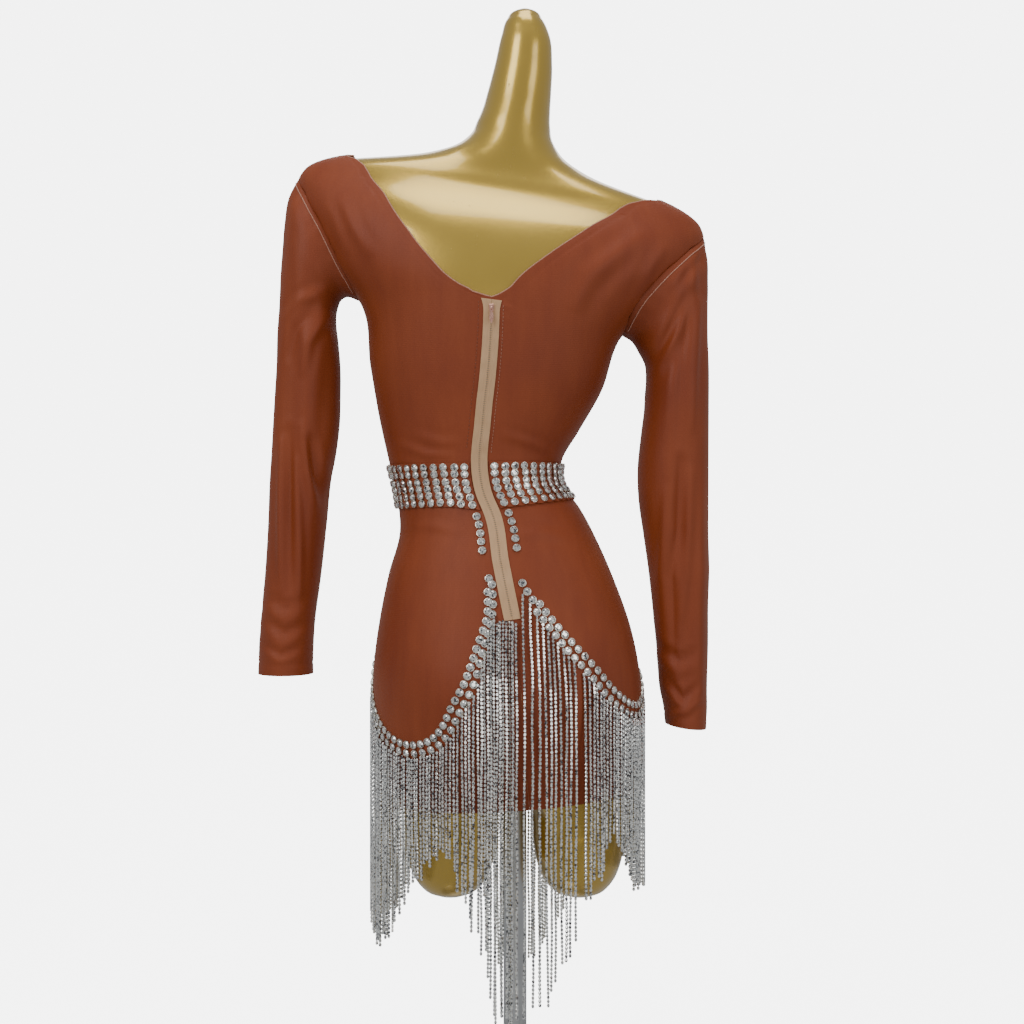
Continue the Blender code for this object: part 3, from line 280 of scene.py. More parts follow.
FRONT_CREASES = (
    (((-0.1960, 0.9900), (-0.1640, 0.9560), (-0.1280, 0.9300)), "front", 0.0070, 0.0018),
    (((-0.1780, 0.9640), (-0.1500, 0.9260), (-0.1300, 0.8960)), "front", 0.0060, -0.0010),
    (((0.1560, 0.9560), (0.1160, 0.9280), (0.0880, 0.9120)), "front", 0.0070, 0.0018),
    (((0.1300, 0.9180), (0.1000, 0.8800), (0.0900, 0.8560)), "front", 0.0060, -0.0010),
    (((-0.0900, 0.7640), (-0.0420, 0.7520), (0.0180, 0.7560)), "front", 0.0050, 0.0011),
    (((-0.0700, 0.6520), (-0.0200, 0.6580), (0.0360, 0.6500)), "front", 0.0050, 0.0010),
    (((-0.1000, 0.8500), (-0.0640, 0.8060), (-0.0520, 0.7700)), "front", 0.0080, 0.0011),
)
SLEEVE_LEFT_CREASES = (
    (((-0.2479, 0.7529), (-0.2490, 0.6686), (-0.2490, 0.5874)), "back", 0.0042, 0.0028),
    (((-0.2395, 0.7635), (-0.2405, 0.6686), (-0.2395, 0.5842)), "back", 0.0048, -0.0030),
    (((-0.2176, 0.7534), (-0.2112, 0.7173), (-0.2016, 0.6834)), "back", 0.0045, -0.0034),
    (((-0.2240, 0.7700), (-0.2200, 0.7173), (-0.2120, 0.6700)), "back", 0.0040, 0.0022),
    (((-0.2321, 0.7318), (-0.2289, 0.6475), (-0.2300, 0.5737)), "back", 0.0036, 0.0018),
    (((-0.2677, 0.5871), (-0.2434, 0.5776), (-0.2222, 0.5839)), "back", 0.0036, -0.0022),
    (((-0.2645, 0.5606), (-0.2455, 0.5480), (-0.2243, 0.5564)), "back", 0.0040, -0.0026),
    (((-0.2650, 0.5720), (-0.2450, 0.5625), (-0.2240, 0.5690)), "back", 0.0040, 0.0016),
    (((-0.2677, 0.5353), (-0.2486, 0.5257), (-0.2275, 0.5331)), "back", 0.0036, -0.0022),
    (((-0.2120, 0.8921), (-0.2310, 0.8689), (-0.2405, 0.8352)), "back", 0.0050, -0.0030),
    (((-0.1990, 0.8860), (-0.2180, 0.8560), (-0.2250, 0.8200)), "back", 0.0046, 0.0026),
    (((-0.2050, 0.9100), (-0.2280, 0.9000), (-0.2440, 0.8800)), "back", 0.0050, 0.0020),
    (((-0.2400, 0.8600), (-0.2300, 0.7800), (-0.2320, 0.7000)), "front", 0.0060, 0.0026),
    (((-0.2200, 0.8300), (-0.2140, 0.7500), (-0.2200, 0.6600)), "front", 0.0060, -0.0030),
    (((-0.2600, 0.5900), (-0.2420, 0.5700), (-0.2240, 0.5800)), "front", 0.0044, -0.0024),
    (((-0.2600, 0.5500), (-0.2420, 0.5420), (-0.2240, 0.5540)), "front", 0.0040, -0.0022),
)
SLEEVE_RIGHT_CREASES = (
    (((0.1982, 0.9660), (0.1845, 0.9470), (0.1592, 0.9111)), "back", 0.0046, 0.0026),
    (((0.1934, 0.9567), (0.1734, 0.8694), (0.1503, 0.8221)), "back", 0.0050, 0.0032),
    (((0.1960, 0.9450), (0.1839, 0.9272), (0.1755, 0.8326), (0.1713, 0.7464)), "back", 0.0055, -0.0036),
    (((0.1830, 0.9100), (0.1620, 0.8640), (0.1480, 0.8420)), "back", 0.0046, -0.0026),
    (((0.1960, 0.9000), (0.1900, 0.8300), (0.1870, 0.7600)), "back", 0.0050, 0.0024),
    (((0.1750, 0.7318), (0.1729, 0.6570), (0.1655, 0.6095), (0.1697, 0.5156)), "back", 0.0048, -0.0036),
    (((0.1860, 0.7200), (0.1840, 0.6400), (0.1780, 0.5600)), "back", 0.0044, 0.0028),
    (((0.1600, 0.7000), (0.1570, 0.6500), (0.1540, 0.6000)), "back", 0.0040, 0.0020),
    (((0.1533, 0.5342), (0.1745, 0.5205), (0.1956, 0.5289)), "back", 0.0038, -0.0026),
    (((0.1560, 0.5180), (0.1745, 0.5060), (0.1960, 0.5130)), "back", 0.0038, 0.0018),
    (((0.1618, 0.4993), (0.1787, 0.4781), (0.1977, 0.4951)), "back", 0.0038, -0.0028),
    (((0.1618, 0.4580), (0.1829, 0.4654), (0.1999, 0.4781)), "back", 0.0034, 0.0018),
    (((0.1850, 0.8900), (0.1760, 0.8100), (0.1740, 0.7300)), "front", 0.0060, -0.0030),
    (((0.1640, 0.8200), (0.1560, 0.7400), (0.1600, 0.6600)), "front", 0.0060, 0.0026),
    (((0.1620, 0.5600), (0.1800, 0.5450), (0.1980, 0.5560)), "front", 0.0044, -0.0024),
    (((0.1640, 0.5200), (0.1800, 0.5080), (0.1980, 0.5200)), "front", 0.0040, -0.0022),
)

# Single crystals down both sides of the zip, below the waistband: height, degrees past the zip line
LOOSE_CRYSTALS = (
    (0.6725, -5.6), (0.6640, -5.5), (0.6550, -5.4), (0.6465, -5.3), (0.6375, -5.1),
    (0.6720, 5.6), (0.6630, 5.6), (0.6540, 5.6), (0.6450, 5.5), (0.6355, 5.4),
)


def curve_weights(t):
    """Weights of two values and of their two slopes on a smooth curve between them."""
    return 2 * t ** 3 - 3 * t ** 2 + 1, 3 * t ** 2 - 2 * t ** 3, t ** 3 - 2 * t ** 2 + t, t ** 3 - t ** 2


def ring_sizes(height):
    """The figure's columns at any height, smoothly between the rows of FIGURE."""
    rows = FIGURE[:, 0]
    height = np.clip(np.asarray(height, float), rows[0], rows[-1])
    low = np.clip(np.searchsorted(rows, height, side="right") - 1, 0, len(rows) - 2)
    step = rows[low + 1] - rows[low]
    t = ((height - rows[low]) / step)[..., None]
    step = step[..., None]
    leave, arrive = FIGURE_SLOPE[low] * step, FIGURE_SLOPE[low + 1] * step
    start, end, out, into = curve_weights(t)
    return (FIGURE[low] * start + leave * out) + (FIGURE[low + 1] * end + arrive * into)


def on_figure(height, degrees):
    """Points of the bare figure at a ring's height and an angle round it."""
    sizes = ring_sizes(height)
    middle, roll, half_width, back, front, square = [sizes[..., k] for k in range(1, 7)]
    angle = np.radians(degrees)
    across, deep = np.cos(angle), np.sin(angle)
    stretch = (np.abs(across) ** square + np.abs(deep) ** square) ** (-1 / square)
    reach = half_width * across * stretch
    y = np.where(deep > 0, front, back) * deep * stretch
    x = middle + reach * np.cos(np.radians(roll))
    z = height - reach * np.sin(np.radians(roll))
    for mound_x, mound_z, radius, depth in MOUNDS:
        side = np.clip(np.sign(depth) * deep, 0, 1)
        y = y + depth * side * np.exp(-((x - mound_x) ** 2 + (z - mound_z) ** 2) / radius ** 2)
    return np.stack(np.broadcast_arrays(x, y, z), -1)


def skin(height, degrees, lift):
    """Points a given distance outside the figure."""
    height, degrees = np.broadcast_arrays(np.asarray(height, float), np.asarray(degrees, float))
    round_it = on_figure(height, degrees + 0.05) - on_figure(height, degrees - 0.05)
    up_it = on_figure(height + 1e-4, degrees) - on_figure(height - 1e-4, degrees)
    normal = np.cross(round_it, up_it)
    normal /= np.linalg.norm(normal, axis=-1, keepdims=True)
    return on_figure(height, degrees) + normal * np.asarray(lift)[..., None]


def look_up(table, value, rounded=False):
    """Second column of a two-column table at a value of its first; rounded softens the line's corners."""
    keys = np.array([row[0] for row in table])
    values = np.array([row[1] for row in table])
    order = np.argsort(keys)
    if not rounded:
        return np.interp(value, keys[order], values[order])
    around = np.linspace(-0.007, 0.007, 15)
    return np.mean([np.interp(value + step, keys[order], values[order]) for step in around], axis=0)


def run_along(line):
    """How far along a line of points each of them lies."""
    return np.concatenate([[0], np.cumsum(np.linalg.norm(np.diff(line, axis=0), axis=1))])


def grid_faces(rows, columns, closed, start=0):
    """Quads of a grid of points, row by row; closed joins the last column to the first."""
    faces = []
    for r in range(rows - 1):
        for c in range(columns if closed else columns - 1):
            n = (c + 1) % columns
            here, above = start + r * columns, start + (r + 1) * columns
            faces.append((here + c, here + n, above + n, above + c))
    return faces


def finish_piece(piece, finishes, sharp=None, finish_of=None):
    """Gives a piece its finishes and shading, turns its faces outward and lets it ride on the object."""
    mesh = piece.data
    for finish in finishes:
        mesh.materials.append(finish)
    if finish_of is not None:
        mesh.polygons.foreach_set("material_index", finish_of)
    shape = bmesh.new()
    shape.from_mesh(mesh)
    bmesh.ops.remove_doubles(shape, verts=shape.verts, dist=1e-6)
    bmesh.ops.recalc_face_normals(shape, faces=shape.faces)
    shape.to_mesh(mesh)
    shape.free()
    if sharp is None:
        mesh.shade_flat()
    else:
        mesh.shade_smooth()
        mesh.set_sharp_from_angle(angle=math.radians(sharp))
    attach(piece, "root")
    return piece


def new_piece(name, points, faces, finishes, sharp=None, finish_of=None):
    """A mesh piece in its place."""
    mesh = bpy.data.meshes.new(name)
    mesh.from_pydata([tuple(map(float, p)) for p in points], [], faces)
    piece = bpy.data.objects.new(name, mesh)
    bpy.context.scene.collection.objects.link(piece)
    return finish_piece(piece, finishes, sharp, finish_of)


def wall_shape(outer, inner, closed=False, joined_rows=0):
    """Points and faces of a wall between two grids. Its last column has no rim up to joined_rows."""
    rows, columns = outer.shape[:2]
    count = rows * columns
    points = list(outer.reshape(-1, 3)) + list(inner.reshape(-1, 3))
    faces = grid_faces(rows, columns, closed)
    faces += [tuple(reversed(f)) for f in grid_faces(rows, columns, closed, count)]
    for row in (0, rows - 1):
        for c in range(columns if closed else columns - 1):
            a, b = row * columns + c, row * columns + (c + 1) % columns
            faces.append((a, b, b + count, a + count))
    for column in () if closed else (0, columns - 1):
        for r in range(joined_rows if column else 0, rows - 1):
            a, b = r * columns + column, (r + 1) * columns + column
            faces.append((a, b, b + count, a + count))
    return points, faces


def crease_height(places, facing, creases):
    """How far creases lift or sink points; facing is below 0 at the back and above 0 at the front."""
    lift = np.zeros(places.shape[:-1])
    flat = places[..., (0, 2)]
    for line, side, width, ridge in creases:
        line = np.array(line)
        lengths = np.linalg.norm(np.diff(line, axis=0), axis=1)
        runs = run_along(line)
        nearest = np.full(lift.shape, 9.0)
        along = np.zeros(lift.shape)
        for k in range(len(line) - 1):
            step = line[k + 1] - line[k]
            t = np.clip(((flat - line[k]) @ step) / (lengths[k] ** 2), 0, 1)
            away = np.linalg.norm(flat - line[k] - t[..., None] * step, axis=-1)
            better = away < nearest
            nearest = np.where(better, away, nearest)
            along = np.where(better, (runs[k] + t * lengths[k]) / runs[-1], along)
        taper = np.sin(np.pi * np.clip(0.06 + 0.94 * along, 0, 1)) ** 0.6
        shown = np.clip(0.5 + facing / 0.01 * (1.0 if side == "front" else -1.0), 0, 1)
        profile = np.exp(-(nearest / width) ** 2) - 0.35 * np.exp(-((nearest / width - 2.0) / 0.9) ** 2)
        lift += ridge * profile * taper * shown
    return lift


class Wire:
    """A node's output in an expression; the operators add Math nodes."""

    def __init__(self, finish, socket):
        self.finish = finish
        self.socket = socket

    def maths(self, operation, first, second):
        return self.finish.node("ShaderNodeMath", {"operation": operation}, {0: first, 1: second})

    def __add__(self, other):
        return self.maths("ADD", self, other)

    def __sub__(self, other):
        return self.maths("SUBTRACT", self, other)

    def __mul__(self, other):
        return self.maths("MULTIPLY", self, other)

    def __pow__(self, other):
        return self.maths("POWER", self, other)

    def __gt__(self, other):
        return self.maths("GREATER_THAN", self, other)

    def __rsub__(self, other):
        return self.maths("SUBTRACT", other, self)

    __radd__ = __add__
    __rmul__ = __mul__


class Finish:
    """A material in the making, and the nodes added to it."""

    def __init__(self, name, **fixed):
        self.material = bpy.data.materials.new(name)
        self.material.use_nodes = True
        self.tree = self.material.node_tree
        self.shader = self.tree.nodes["Principled BSDF"]
        for key, value in fixed.items():
            self.shader.inputs[key.replace("_", " ")].default_value = value

    def node(self, kind, settings, inputs, output=0):
        made = self.tree.nodes.new(kind)
        for key, value in settings.items():
            if key == "stops":
                ramp = made.color_ramp.elements
                while len(ramp) < len(value):
                    ramp.new(0.5)
                for stop, (place, colour) in zip(ramp, value):
                    stop.position = place
                    stop.color = colour
            else:
                setattr(made, key, value)
        for key, value in inputs.items():
            if isinstance(value, Wire):
                self.tree.links.new(value.socket, made.inputs[key])
            else:
                made.inputs[key].default_value = value
        return Wire(self, made.outputs[output])

    def place(self):
        return self.node("ShaderNodeTexCoord", {}, {}, "Object")

    def stretched(self, place, scale):
        return self.node("ShaderNodeMapping", {}, {"Vector": place, "Scale": scale})

    def noise(self, place, scale, detail=2.0, roughness=0.5):
        return self.node("ShaderNodeTexNoise", {}, {"Vector": place, "Scale": scale, "Detail": detail,
                                                    "Roughness": roughness})

    def wave(self, place, direction, scale, distortion, detail=2.0):
        return self.node("ShaderNodeTexWave", {"bands_direction": direction},
                         {"Vector": place, "Scale": scale, "Distortion": distortion, "Detail": detail})

    def ramp(self, value, stops):
        return self.node("ShaderNodeValToRGB", {"stops": stops}, {"Fac": value})

    def blend(self, share, first, second):
        return self.node("ShaderNodeMix", {"data_type": "RGBA"}, {0: share, 6: first, 7: second}, 2)

    def bump(self, height, distance, strength=1.0):
        return self.node("ShaderNodeBump", {}, {"Height": height, "Distance": distance,
                                                "Strength": strength})

    def drive(self, **links):
        for key, value in links.items():
            self.tree.links.new(value.socket, self.shader.inputs[key.replace("_", " ")])
        return self.material


def stretch_cloth():
    """Rust lycra: a fine knit with a soft sheen, a little uneven in colour."""
    finish = Finish("rust stretch cloth", Sheen_Weight=0.08, Sheen_Roughness=0.40, Specular_IOR_Level=0.40)
    finish.shader.inputs["Sheen Tint"].default_value = (0.95, 0.62, 0.45, 1.0)
    place = finish.place()
    cloudy = finish.noise(place, 9.0, 3.0)
    streaks = finish.noise(finish.stretched(place, (60.0, 60.0, 7.0)), 1.0, 3.0, 0.6)
    grain = finish.noise(place, 1500.0, 2.0, 0.7)
    ribs = finish.wave(place, "X", 230.0, 1.2, 1.0)
    rows = finish.wave(place, "Z", 170.0, 1.0, 1.0)
    tone = cloudy * 0.6 + streaks * 0.4
    colour = finish.ramp(tone, ((0.30, (0.205, 0.0310, 0.0052, 1.0)), (0.52, (0.245, 0.0430, 0.0080, 1.0)),
                                (0.74, (0.285, 0.0550, 0.0120, 1.0))))
    flecked = finish.blend((grain > 0.66) * 0.25, colour, (0.33, 0.080, 0.026, 1.0))
    knit = ribs * 0.5 + rows * 0.5 + grain * 0.5
    return finish.drive(Base_Color=flecked, Roughness=0.50 + cloudy * 0.16,
                        Normal=finish.bump(knit, 0.00012, 0.6))


def edge_binding():
    """Pale turned edge that shows as a thin line along the neckline and the seams."""
    finish = Finish("pale turned edge", Roughness=0.75, Sheen_Weight=0.2)
    place = finish.place()
    twist = finish.noise(place, 1400.0, 2.0)
    colour = finish.ramp(twist, ((0.35, (0.36, 0.13, 0.075, 1.0)), (0.70, (0.62, 0.34, 0.24, 1.0))))
    return finish.drive(Base_Color=colour, Normal=finish.bump(twist, 0.0002))


def zip_cloth():
    """Woven beige zip tape: a herringbone of fine ribs."""
    finish = Finish("beige zip tape", Sheen_Weight=0.15)
    place = finish.place()
    ribs = finish.wave(place, "X", 420.0, 0.6, 1.0)
    picks = finish.wave(place, "Z", 640.0, 0.4, 1.0)
    soil = finish.noise(place, 60.0, 3.0)
    colour = finish.ramp(ribs * 0.35 + picks * 0.25 + soil * 0.5,
                         ((0.25, (0.500, 0.290, 0.145, 1.0)), (0.85, (0.740, 0.470, 0.260, 1.0))))
    return finish.drive(Base_Color=colour, Roughness=0.66 + soil * 0.15,
                        Normal=finish.bump(ribs * 0.6 + picks * 0.4, 0.0002, 0.8))


def sewing_thread(name, dark, light):
    """Twisted thread from a dark and a light colour."""
    finish = Finish(name, Roughness=0.6)
    ply = finish.wave(finish.place(), "DIAGONAL", 900.0, 0.5)
    return finish.drive(Base_Color=finish.ramp(ply, ((0.2, (*dark, 1.0)), (0.8, (*light, 1.0)))),
                        Normal=finish.bump(ply, 0.0001))


def rose_metal():
    """Polished rose-coloured plating with faint rubbing."""
    finish = Finish("rose metal", Metallic=1.0)
    rub = finish.noise(finish.stretched(finish.place(), (900.0, 900.0, 200.0)), 1.0, 4.0, 0.6)
    colour = finish.ramp(rub, ((0.3, (0.70, 0.36, 0.27, 1.0)), (0.7, (0.86, 0.50, 0.40, 1.0))))
    return finish.drive(Base_Color=colour, Roughness=0.16 + rub * 0.22, Normal=finish.bump(rub, 0.00004))


def crystal_glass():
    """Clear foil-backed glass; its colour paints the glints and dark reflections of its facets, with warm
    flecks of painted fire.
    """
    finish = Finish("foiled crystal with painted glints", Metallic=0.88, Coat_Weight=0.6, Coat_Roughness=0.03, IOR=1.6)
    place = finish.place()
    # painted reflections: small cells of colour from near black to white stand in for facets that catch or
    # miss the light
    spread = finish.noise(place, 420.0, 1.0)
    painted_fire = finish.noise(place, 260.0, 1.0)
    colour = finish.ramp(spread, ((0.36, (0.10, 0.10, 0.11, 1.0)), (0.45, (0.74, 0.74, 0.73, 1.0)),
                                  (0.56, (1.00, 1.00, 0.96, 1.0))))
    # painted fire: warm coloured glints blended in over some of the cells
    painted_glints_and_fire = finish.blend((painted_fire > 0.64) * 0.35, colour, (0.86, 0.72, 0.62, 1.0))
    return finish.drive(Base_Color=painted_glints_and_fire, Roughness=0.06 + spread * 0.10)


def claw_silver():
    """Nickel-silver of the claw cups, a little darker and duller in random spots."""
    finish = Finish("claw silver", Metallic=1.0)
    dull = finish.noise(finish.place(), 700.0, 3.0)
    colour = finish.ramp(dull, ((0.3, (0.50, 0.48, 0.42, 1.0)), (0.7, (0.90, 0.87, 0.78, 1.0))))
    return finish.drive(Base_Color=colour, Roughness=0.20 + dull * 0.20)


def gold_paint():
    """Glossy gold lacquer with soft orange peel, scuffs and rubbed spots."""
    finish = Finish("glossy gold paint", Metallic=0.72, Coat_Roughness=0.08, Coat_IOR=1.5)
    place = finish.place()
    cloud = finish.noise(place, 5.0, 3.0)
    peel = finish.noise(place, 240.0, 2.0)
    scratch = finish.noise(finish.stretched(place, (420.0, 420.0, 40.0)), 1.0, 4.0, 0.7)
    patch = finish.noise(place, 26.0, 3.0, 0.6)
    scuffed = (scratch > 0.66) * (patch > 0.56)
    colour = finish.ramp(cloud, ((0.30, (0.520, 0.330, 0.045, 1.0)), (0.70, (0.640, 0.425, 0.070, 1.0))))
    rubbed = finish.blend(scuffed * 0.55, colour, (0.260, 0.160, 0.050, 1.0))
    return finish.drive(Base_Color=rubbed, Roughness=0.20 + cloud * 0.10 + scuffed * 0.20,
                        Coat_Weight=0.85 - scuffed * 0.5,
                        Normal=finish.bump(peel * 0.4 + cloud * 0.6, 0.0006, 0.25))


def satin_steel():
    """Brushed stand steel: fine rings on the plate, faint drips on the pole."""
    finish = Finish("satin steel", Metallic=1.0, Anisotropic=0.3)
    place = finish.place()
    brush = finish.noise(finish.stretched(place, (500.0, 500.0, 30.0)), 1.0, 4.0, 0.7)
    smudge = finish.noise(place, 14.0, 3.0)
    colour = finish.ramp(brush * 0.5 + smudge * 0.5,
                         ((0.3, (0.40, 0.40, 0.41, 1.0)), (0.7, (0.62, 0.62, 0.61, 1.0))))
    return finish.drive(Base_Color=colour, Roughness=0.24 + brush * 0.16 + smudge * 0.06,
                        Normal=finish.bump(brush, 0.00005))


def studio_paper():
    """White paper that lights itself, so that no shadow greys it."""
    finish = Finish("pale studio paper", Roughness=0.9, Specular_IOR_Level=0.1)
    fibre = finish.noise(finish.place(), 900.0, 2.0)
    colour = finish.ramp(fibre, ((0.2, (0.86, 0.86, 0.86, 1.0)), (0.8, (0.90, 0.90, 0.90, 1.0))))
    finish.shader.inputs["Emission Strength"].default_value = 6.0
    return finish.drive(Base_Color=colour, Emission_Color=colour)


def arm_rows(steps):
    """Heights between armpit and shoulder, close together at both ends."""
    k = np.arange(steps + 1) / steps
    return ARMPIT_HEIGHT + (SHOULDER_HEIGHT - ARMPIT_HEIGHT) * (1 - np.cos(np.pi * k)) / 2


def armhole_angle(height, side):
    """How far the armhole is cut in from the side, in degrees."""
    part = np.clip((height - ARMPIT_HEIGHT) / (SHOULDER_HEIGHT - ARMPIT_HEIGHT), 0, 1)
    return ARMHOLE_OPENING[side] * 2 * np.sqrt(part * (1 - part))


def panel_heights():
    """Heights of a panel's rows, with one at the foot of each neckline."""
    rows = [np.linspace(HEM_HEIGHT, ARMPIT_HEIGHT, SIDE_ROWS), arm_rows(ARMHOLE_ROWS),
            np.linspace(SHOULDER_HEIGHT, STRAP_HEIGHT, STRAP_ROWS),
            (NECK_BACK["left"][0][0], NECK_FRONT[0][0])]
    return np.unique(np.round(np.concatenate(rows), 5))


def back_edge(side):
    """The zip line below the neckline, and the neckline above it, as degrees in from the side."""
    sign = 1.0 if side == "left" else -1.0

    def edge(height):
        middle = 90.0 + sign * look_up(ZIP_LINE, height) - SEAM_ANGLE
        if height < NECK_BACK[side][0][0] + 1e-6:
            return middle
        share = min(max((STRAP_HEIGHT - height) / 0.02, 0.0), 1.0) * min((height - 0.896) / 0.006, 1.0)
        soft = share * look_up(NECK_BACK[side], height, True)
        return min(middle, soft + (1 - share) * look_up(NECK_BACK[side], height))

    return edge


def front_edge(height):
    """The front neckline, as degrees in from the side."""
    return look_up(NECK_FRONT, height)


def panel_grid(side, face, inner_edge, creases):
    """Half of the dress at the front or back, from the side seam to the middle, with creases and seams."""
    start = LEFT if side == "left" else RIGHT + (360.0 if face == "back" else 0.0)
    turn = 1.0 if (side == "left") == (face == "back") else -1.0
    heights = panel_heights()
    near = np.array([max(armhole_angle(height, side), SEAM_ANGLE) for height in heights])
    far = np.maximum([float(inner_edge(height)) for height in heights], near + 1.0)
    share = np.linspace(0, 1, PANEL_COLUMNS + 1)
    inward = near[:, None] * (1 - share) + far[:, None] * share
    angles = start + turn * inward
    rows = np.repeat(heights[:, None], PANEL_COLUMNS + 1, axis=1)
    places = skin(rows, angles, CLOTH_TOP)
    lift = crease_height(places, np.full(rows.shape, -0.1 if face == "back" else 0.1), creases)
    radius = ring_sizes(heights)[..., 3][:, None]
    from_side = np.radians(inward - near[:, None]) * radius
    from_middle = np.radians(far[:, None] - inward) * radius
    puckers = np.sin(rows / 0.0019) * 0.00035 + np.sin(rows / 0.0043 + 1.3) * 0.00045
    lift += puckers * np.exp(-from_side / 0.005) * np.clip((rows - ARMPIT_HEIGHT + 0.02) / 0.02, 0, 1)
    lift -= 0.0006 * np.exp(-(from_side / 0.0016) ** 2)
    if face == "back":
        lift *= np.clip((from_middle - TAPE_WIDTH) / 0.004, 0, 1) ** 2
        lift -= 0.0004 * np.exp(-((from_middle - TAPE_WIDTH - 0.0026) / 0.0012) ** 2)
    lift -= 0.0005 * np.exp(-((rows - HEM_HEIGHT - 0.013) / 0.0016) ** 2)
    return skin(rows, angles, CLOTH_TOP + lift), skin(rows, angles, CLOTH_LIFT + lift)


def edge_bead(name, line, radius, finish):
    """A thin rolled edge along a line of points, round in section."""
    line = np.array(line)
    ahead = np.gradient(line, axis=0)
    ahead /= np.linalg.norm(ahead, axis=1, keepdims=True)
    across = np.cross(ahead, (0.0, 1.0, 0.001))
    across /= np.linalg.norm(across, axis=1, keepdims=True)
    up = np.cross(across, ahead)
    points = []
    for k in range(BEAD_SIDES):
        angle = 2 * math.pi * k / BEAD_SIDES
        points.append(line + (across * math.cos(angle) + up * math.sin(angle)) * radius)
    points = np.stack(points, axis=1)
    faces = grid_faces(len(line), BEAD_SIDES, True)
    last = BEAD_SIDES * (len(line) - 1)
    faces += [tuple(range(BEAD_SIDES)), tuple(range(last, last + BEAD_SIDES))]
    return new_piece(name, points.reshape(-1, 3), faces, [finish], sharp=60)


def make_panels(cloth, edge):
    """Two back panels that meet at the zip, and a front in one piece, with their turned necklines."""
    made = {}
    heights = panel_heights()
    for side, creases in (("left", BACK_LEFT_CREASES), ("right", BACK_RIGHT_CREASES)):
        outer, inner = panel_grid(side, "back", back_edge(side), creases)
        name = "back_" + side
        made[name] = new_piece(name + "_cloth", *wall_shape(outer, inner), [cloth], sharp=50)
        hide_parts(name)
        open_rows = heights >= NECK_BACK[side][0][0] - 1e-6
        rim = (outer[open_rows, -1] + inner[open_rows, -1]) / 2
        bead = edge_bead("neck_edge_back_" + side, rim, 0.0008, edge)
    points, faces = [], []
    for side in ("left", "right"):
        outer, inner = panel_grid(side, "front", front_edge, FRONT_CREASES)
        joined = int(np.sum(heights < NECK_FRONT[0][0] - 1e-6))
        new_points, new_faces = wall_shape(outer, inner, joined_rows=joined)
        faces += [tuple(i + len(points) for i in face) for face in new_faces]
        points += new_points
        rim = (outer[joined:, -1] + inner[joined:, -1]) / 2
        bead = edge_bead("neck_edge_front_" + side, rim, 0.0008, edge)
    made["front"] = new_piece("front_cloth", points, faces, [cloth], sharp=50)
    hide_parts("front")
    return made


def smooth_between(rows, steps):
    """More rows on a smooth curve through the given ones, which may be points or whole rings."""
    rows = np.asarray(rows, float)
    slope = np.gradient(rows, axis=0)
    made = []
    for k in range(len(rows) - 1):
        for t in np.arange(steps) / steps:
            start, end, out, into = curve_weights(t)
            made.append(rows[k] * start + rows[k + 1] * end + slope[k] * out + slope[k + 1] * into)
    made.append(rows[-1])
    return np.array(made)


def sleeve_grid(side):
    """Rings of a sleeve from the armhole down to the cuff, with its long folds and its creases."""
    table, folds, creases = ((SLEEVE_LEFT, FOLDS_LEFT, SLEEVE_LEFT_CREASES) if side == "left"
                             else (SLEEVE_RIGHT, FOLDS_RIGHT, SLEEVE_RIGHT_CREASES))
    degrees = np.arange(SLEEVE_COLUMNS) * 360.0 / SLEEVE_COLUMNS
    angle = np.radians(degrees)
    opening = ARMHOLE_OPENING[side] - 3 * SEAM_ANGLE
    low, high = ARMPIT_HEIGHT + 0.0009, SHOULDER_HEIGHT - 0.0006
    heights = low + (high - low) * (1 - np.cos(angle)) / 2
    around_body = (LEFT + opening * np.sin(angle)) if side == "left" else (360.0 - opening * np.sin(angle))
    rings = [skin(heights, around_body, CLOTH_TOP)]
    for k, (outer_x, outer_z, inner_x, inner_z, middle_y, half_depth) in enumerate(table, start=1):
        dent = np.zeros(SLEEVE_COLUMNS)
        for first, last, start, end, width, depth in folds:
            along = (k - first) / (last - first)
            fade = math.sin(math.pi * min(max(along, 0.0), 1.0)) ** 0.5
            off = (degrees - (start + (end - start) * along) + 180.0) % 360.0 - 180.0
            dent += depth * fade * np.exp(-(off / width) ** 2)
        half_x, half_z = (outer_x - inner_x) / 2, (outer_z - inner_z) / 2
        swell = 1 + dent / half_depth
        x = (outer_x + inner_x) / 2 - half_x * np.cos(angle) * swell
        z = (outer_z + inner_z) / 2 - half_z * np.cos(angle) * swell
        y = middle_y - half_depth * np.sin(angle) * swell
        rings.append(np.stack([x, y, z], -1))
    plain = smooth_between(rings, SLEEVE_STEPS)
    around = np.roll(plain, -1, axis=1) - np.roll(plain, 1, axis=1)
    normal = np.cross(around, np.gradient(plain, axis=0))
    normal /= np.linalg.norm(normal, axis=-1, keepdims=True)
    away = plain - plain.mean(axis=1, keepdims=True)
    normal *= np.sign(np.sum(normal * away))
    lift = crease_height(plain, away[..., 1], creases)
    ring = np.arange(len(plain))[:, None]
    lift *= np.clip(ring / 6.0, 0, 1)
    puckers = np.sin(degrees * 0.41) * 0.0006 + np.sin(degrees * 0.93 + 1.0) * 0.0004
    lift += puckers * np.exp(-ring / 3.6) * np.clip(ring / 2.0, 0, 1)
    from_cuff = plain[..., 2] - plain[-1:, :, 2]
    lift -= 0.0005 * np.exp(-((from_cuff - 0.012) / 0.0013) ** 2)
    outer = plain + normal * lift[..., None]
    inner = outer - normal * CLOTH_WALL
    inner[0] = skin(heights, around_body, CLOTH_LIFT)
    return outer, inner


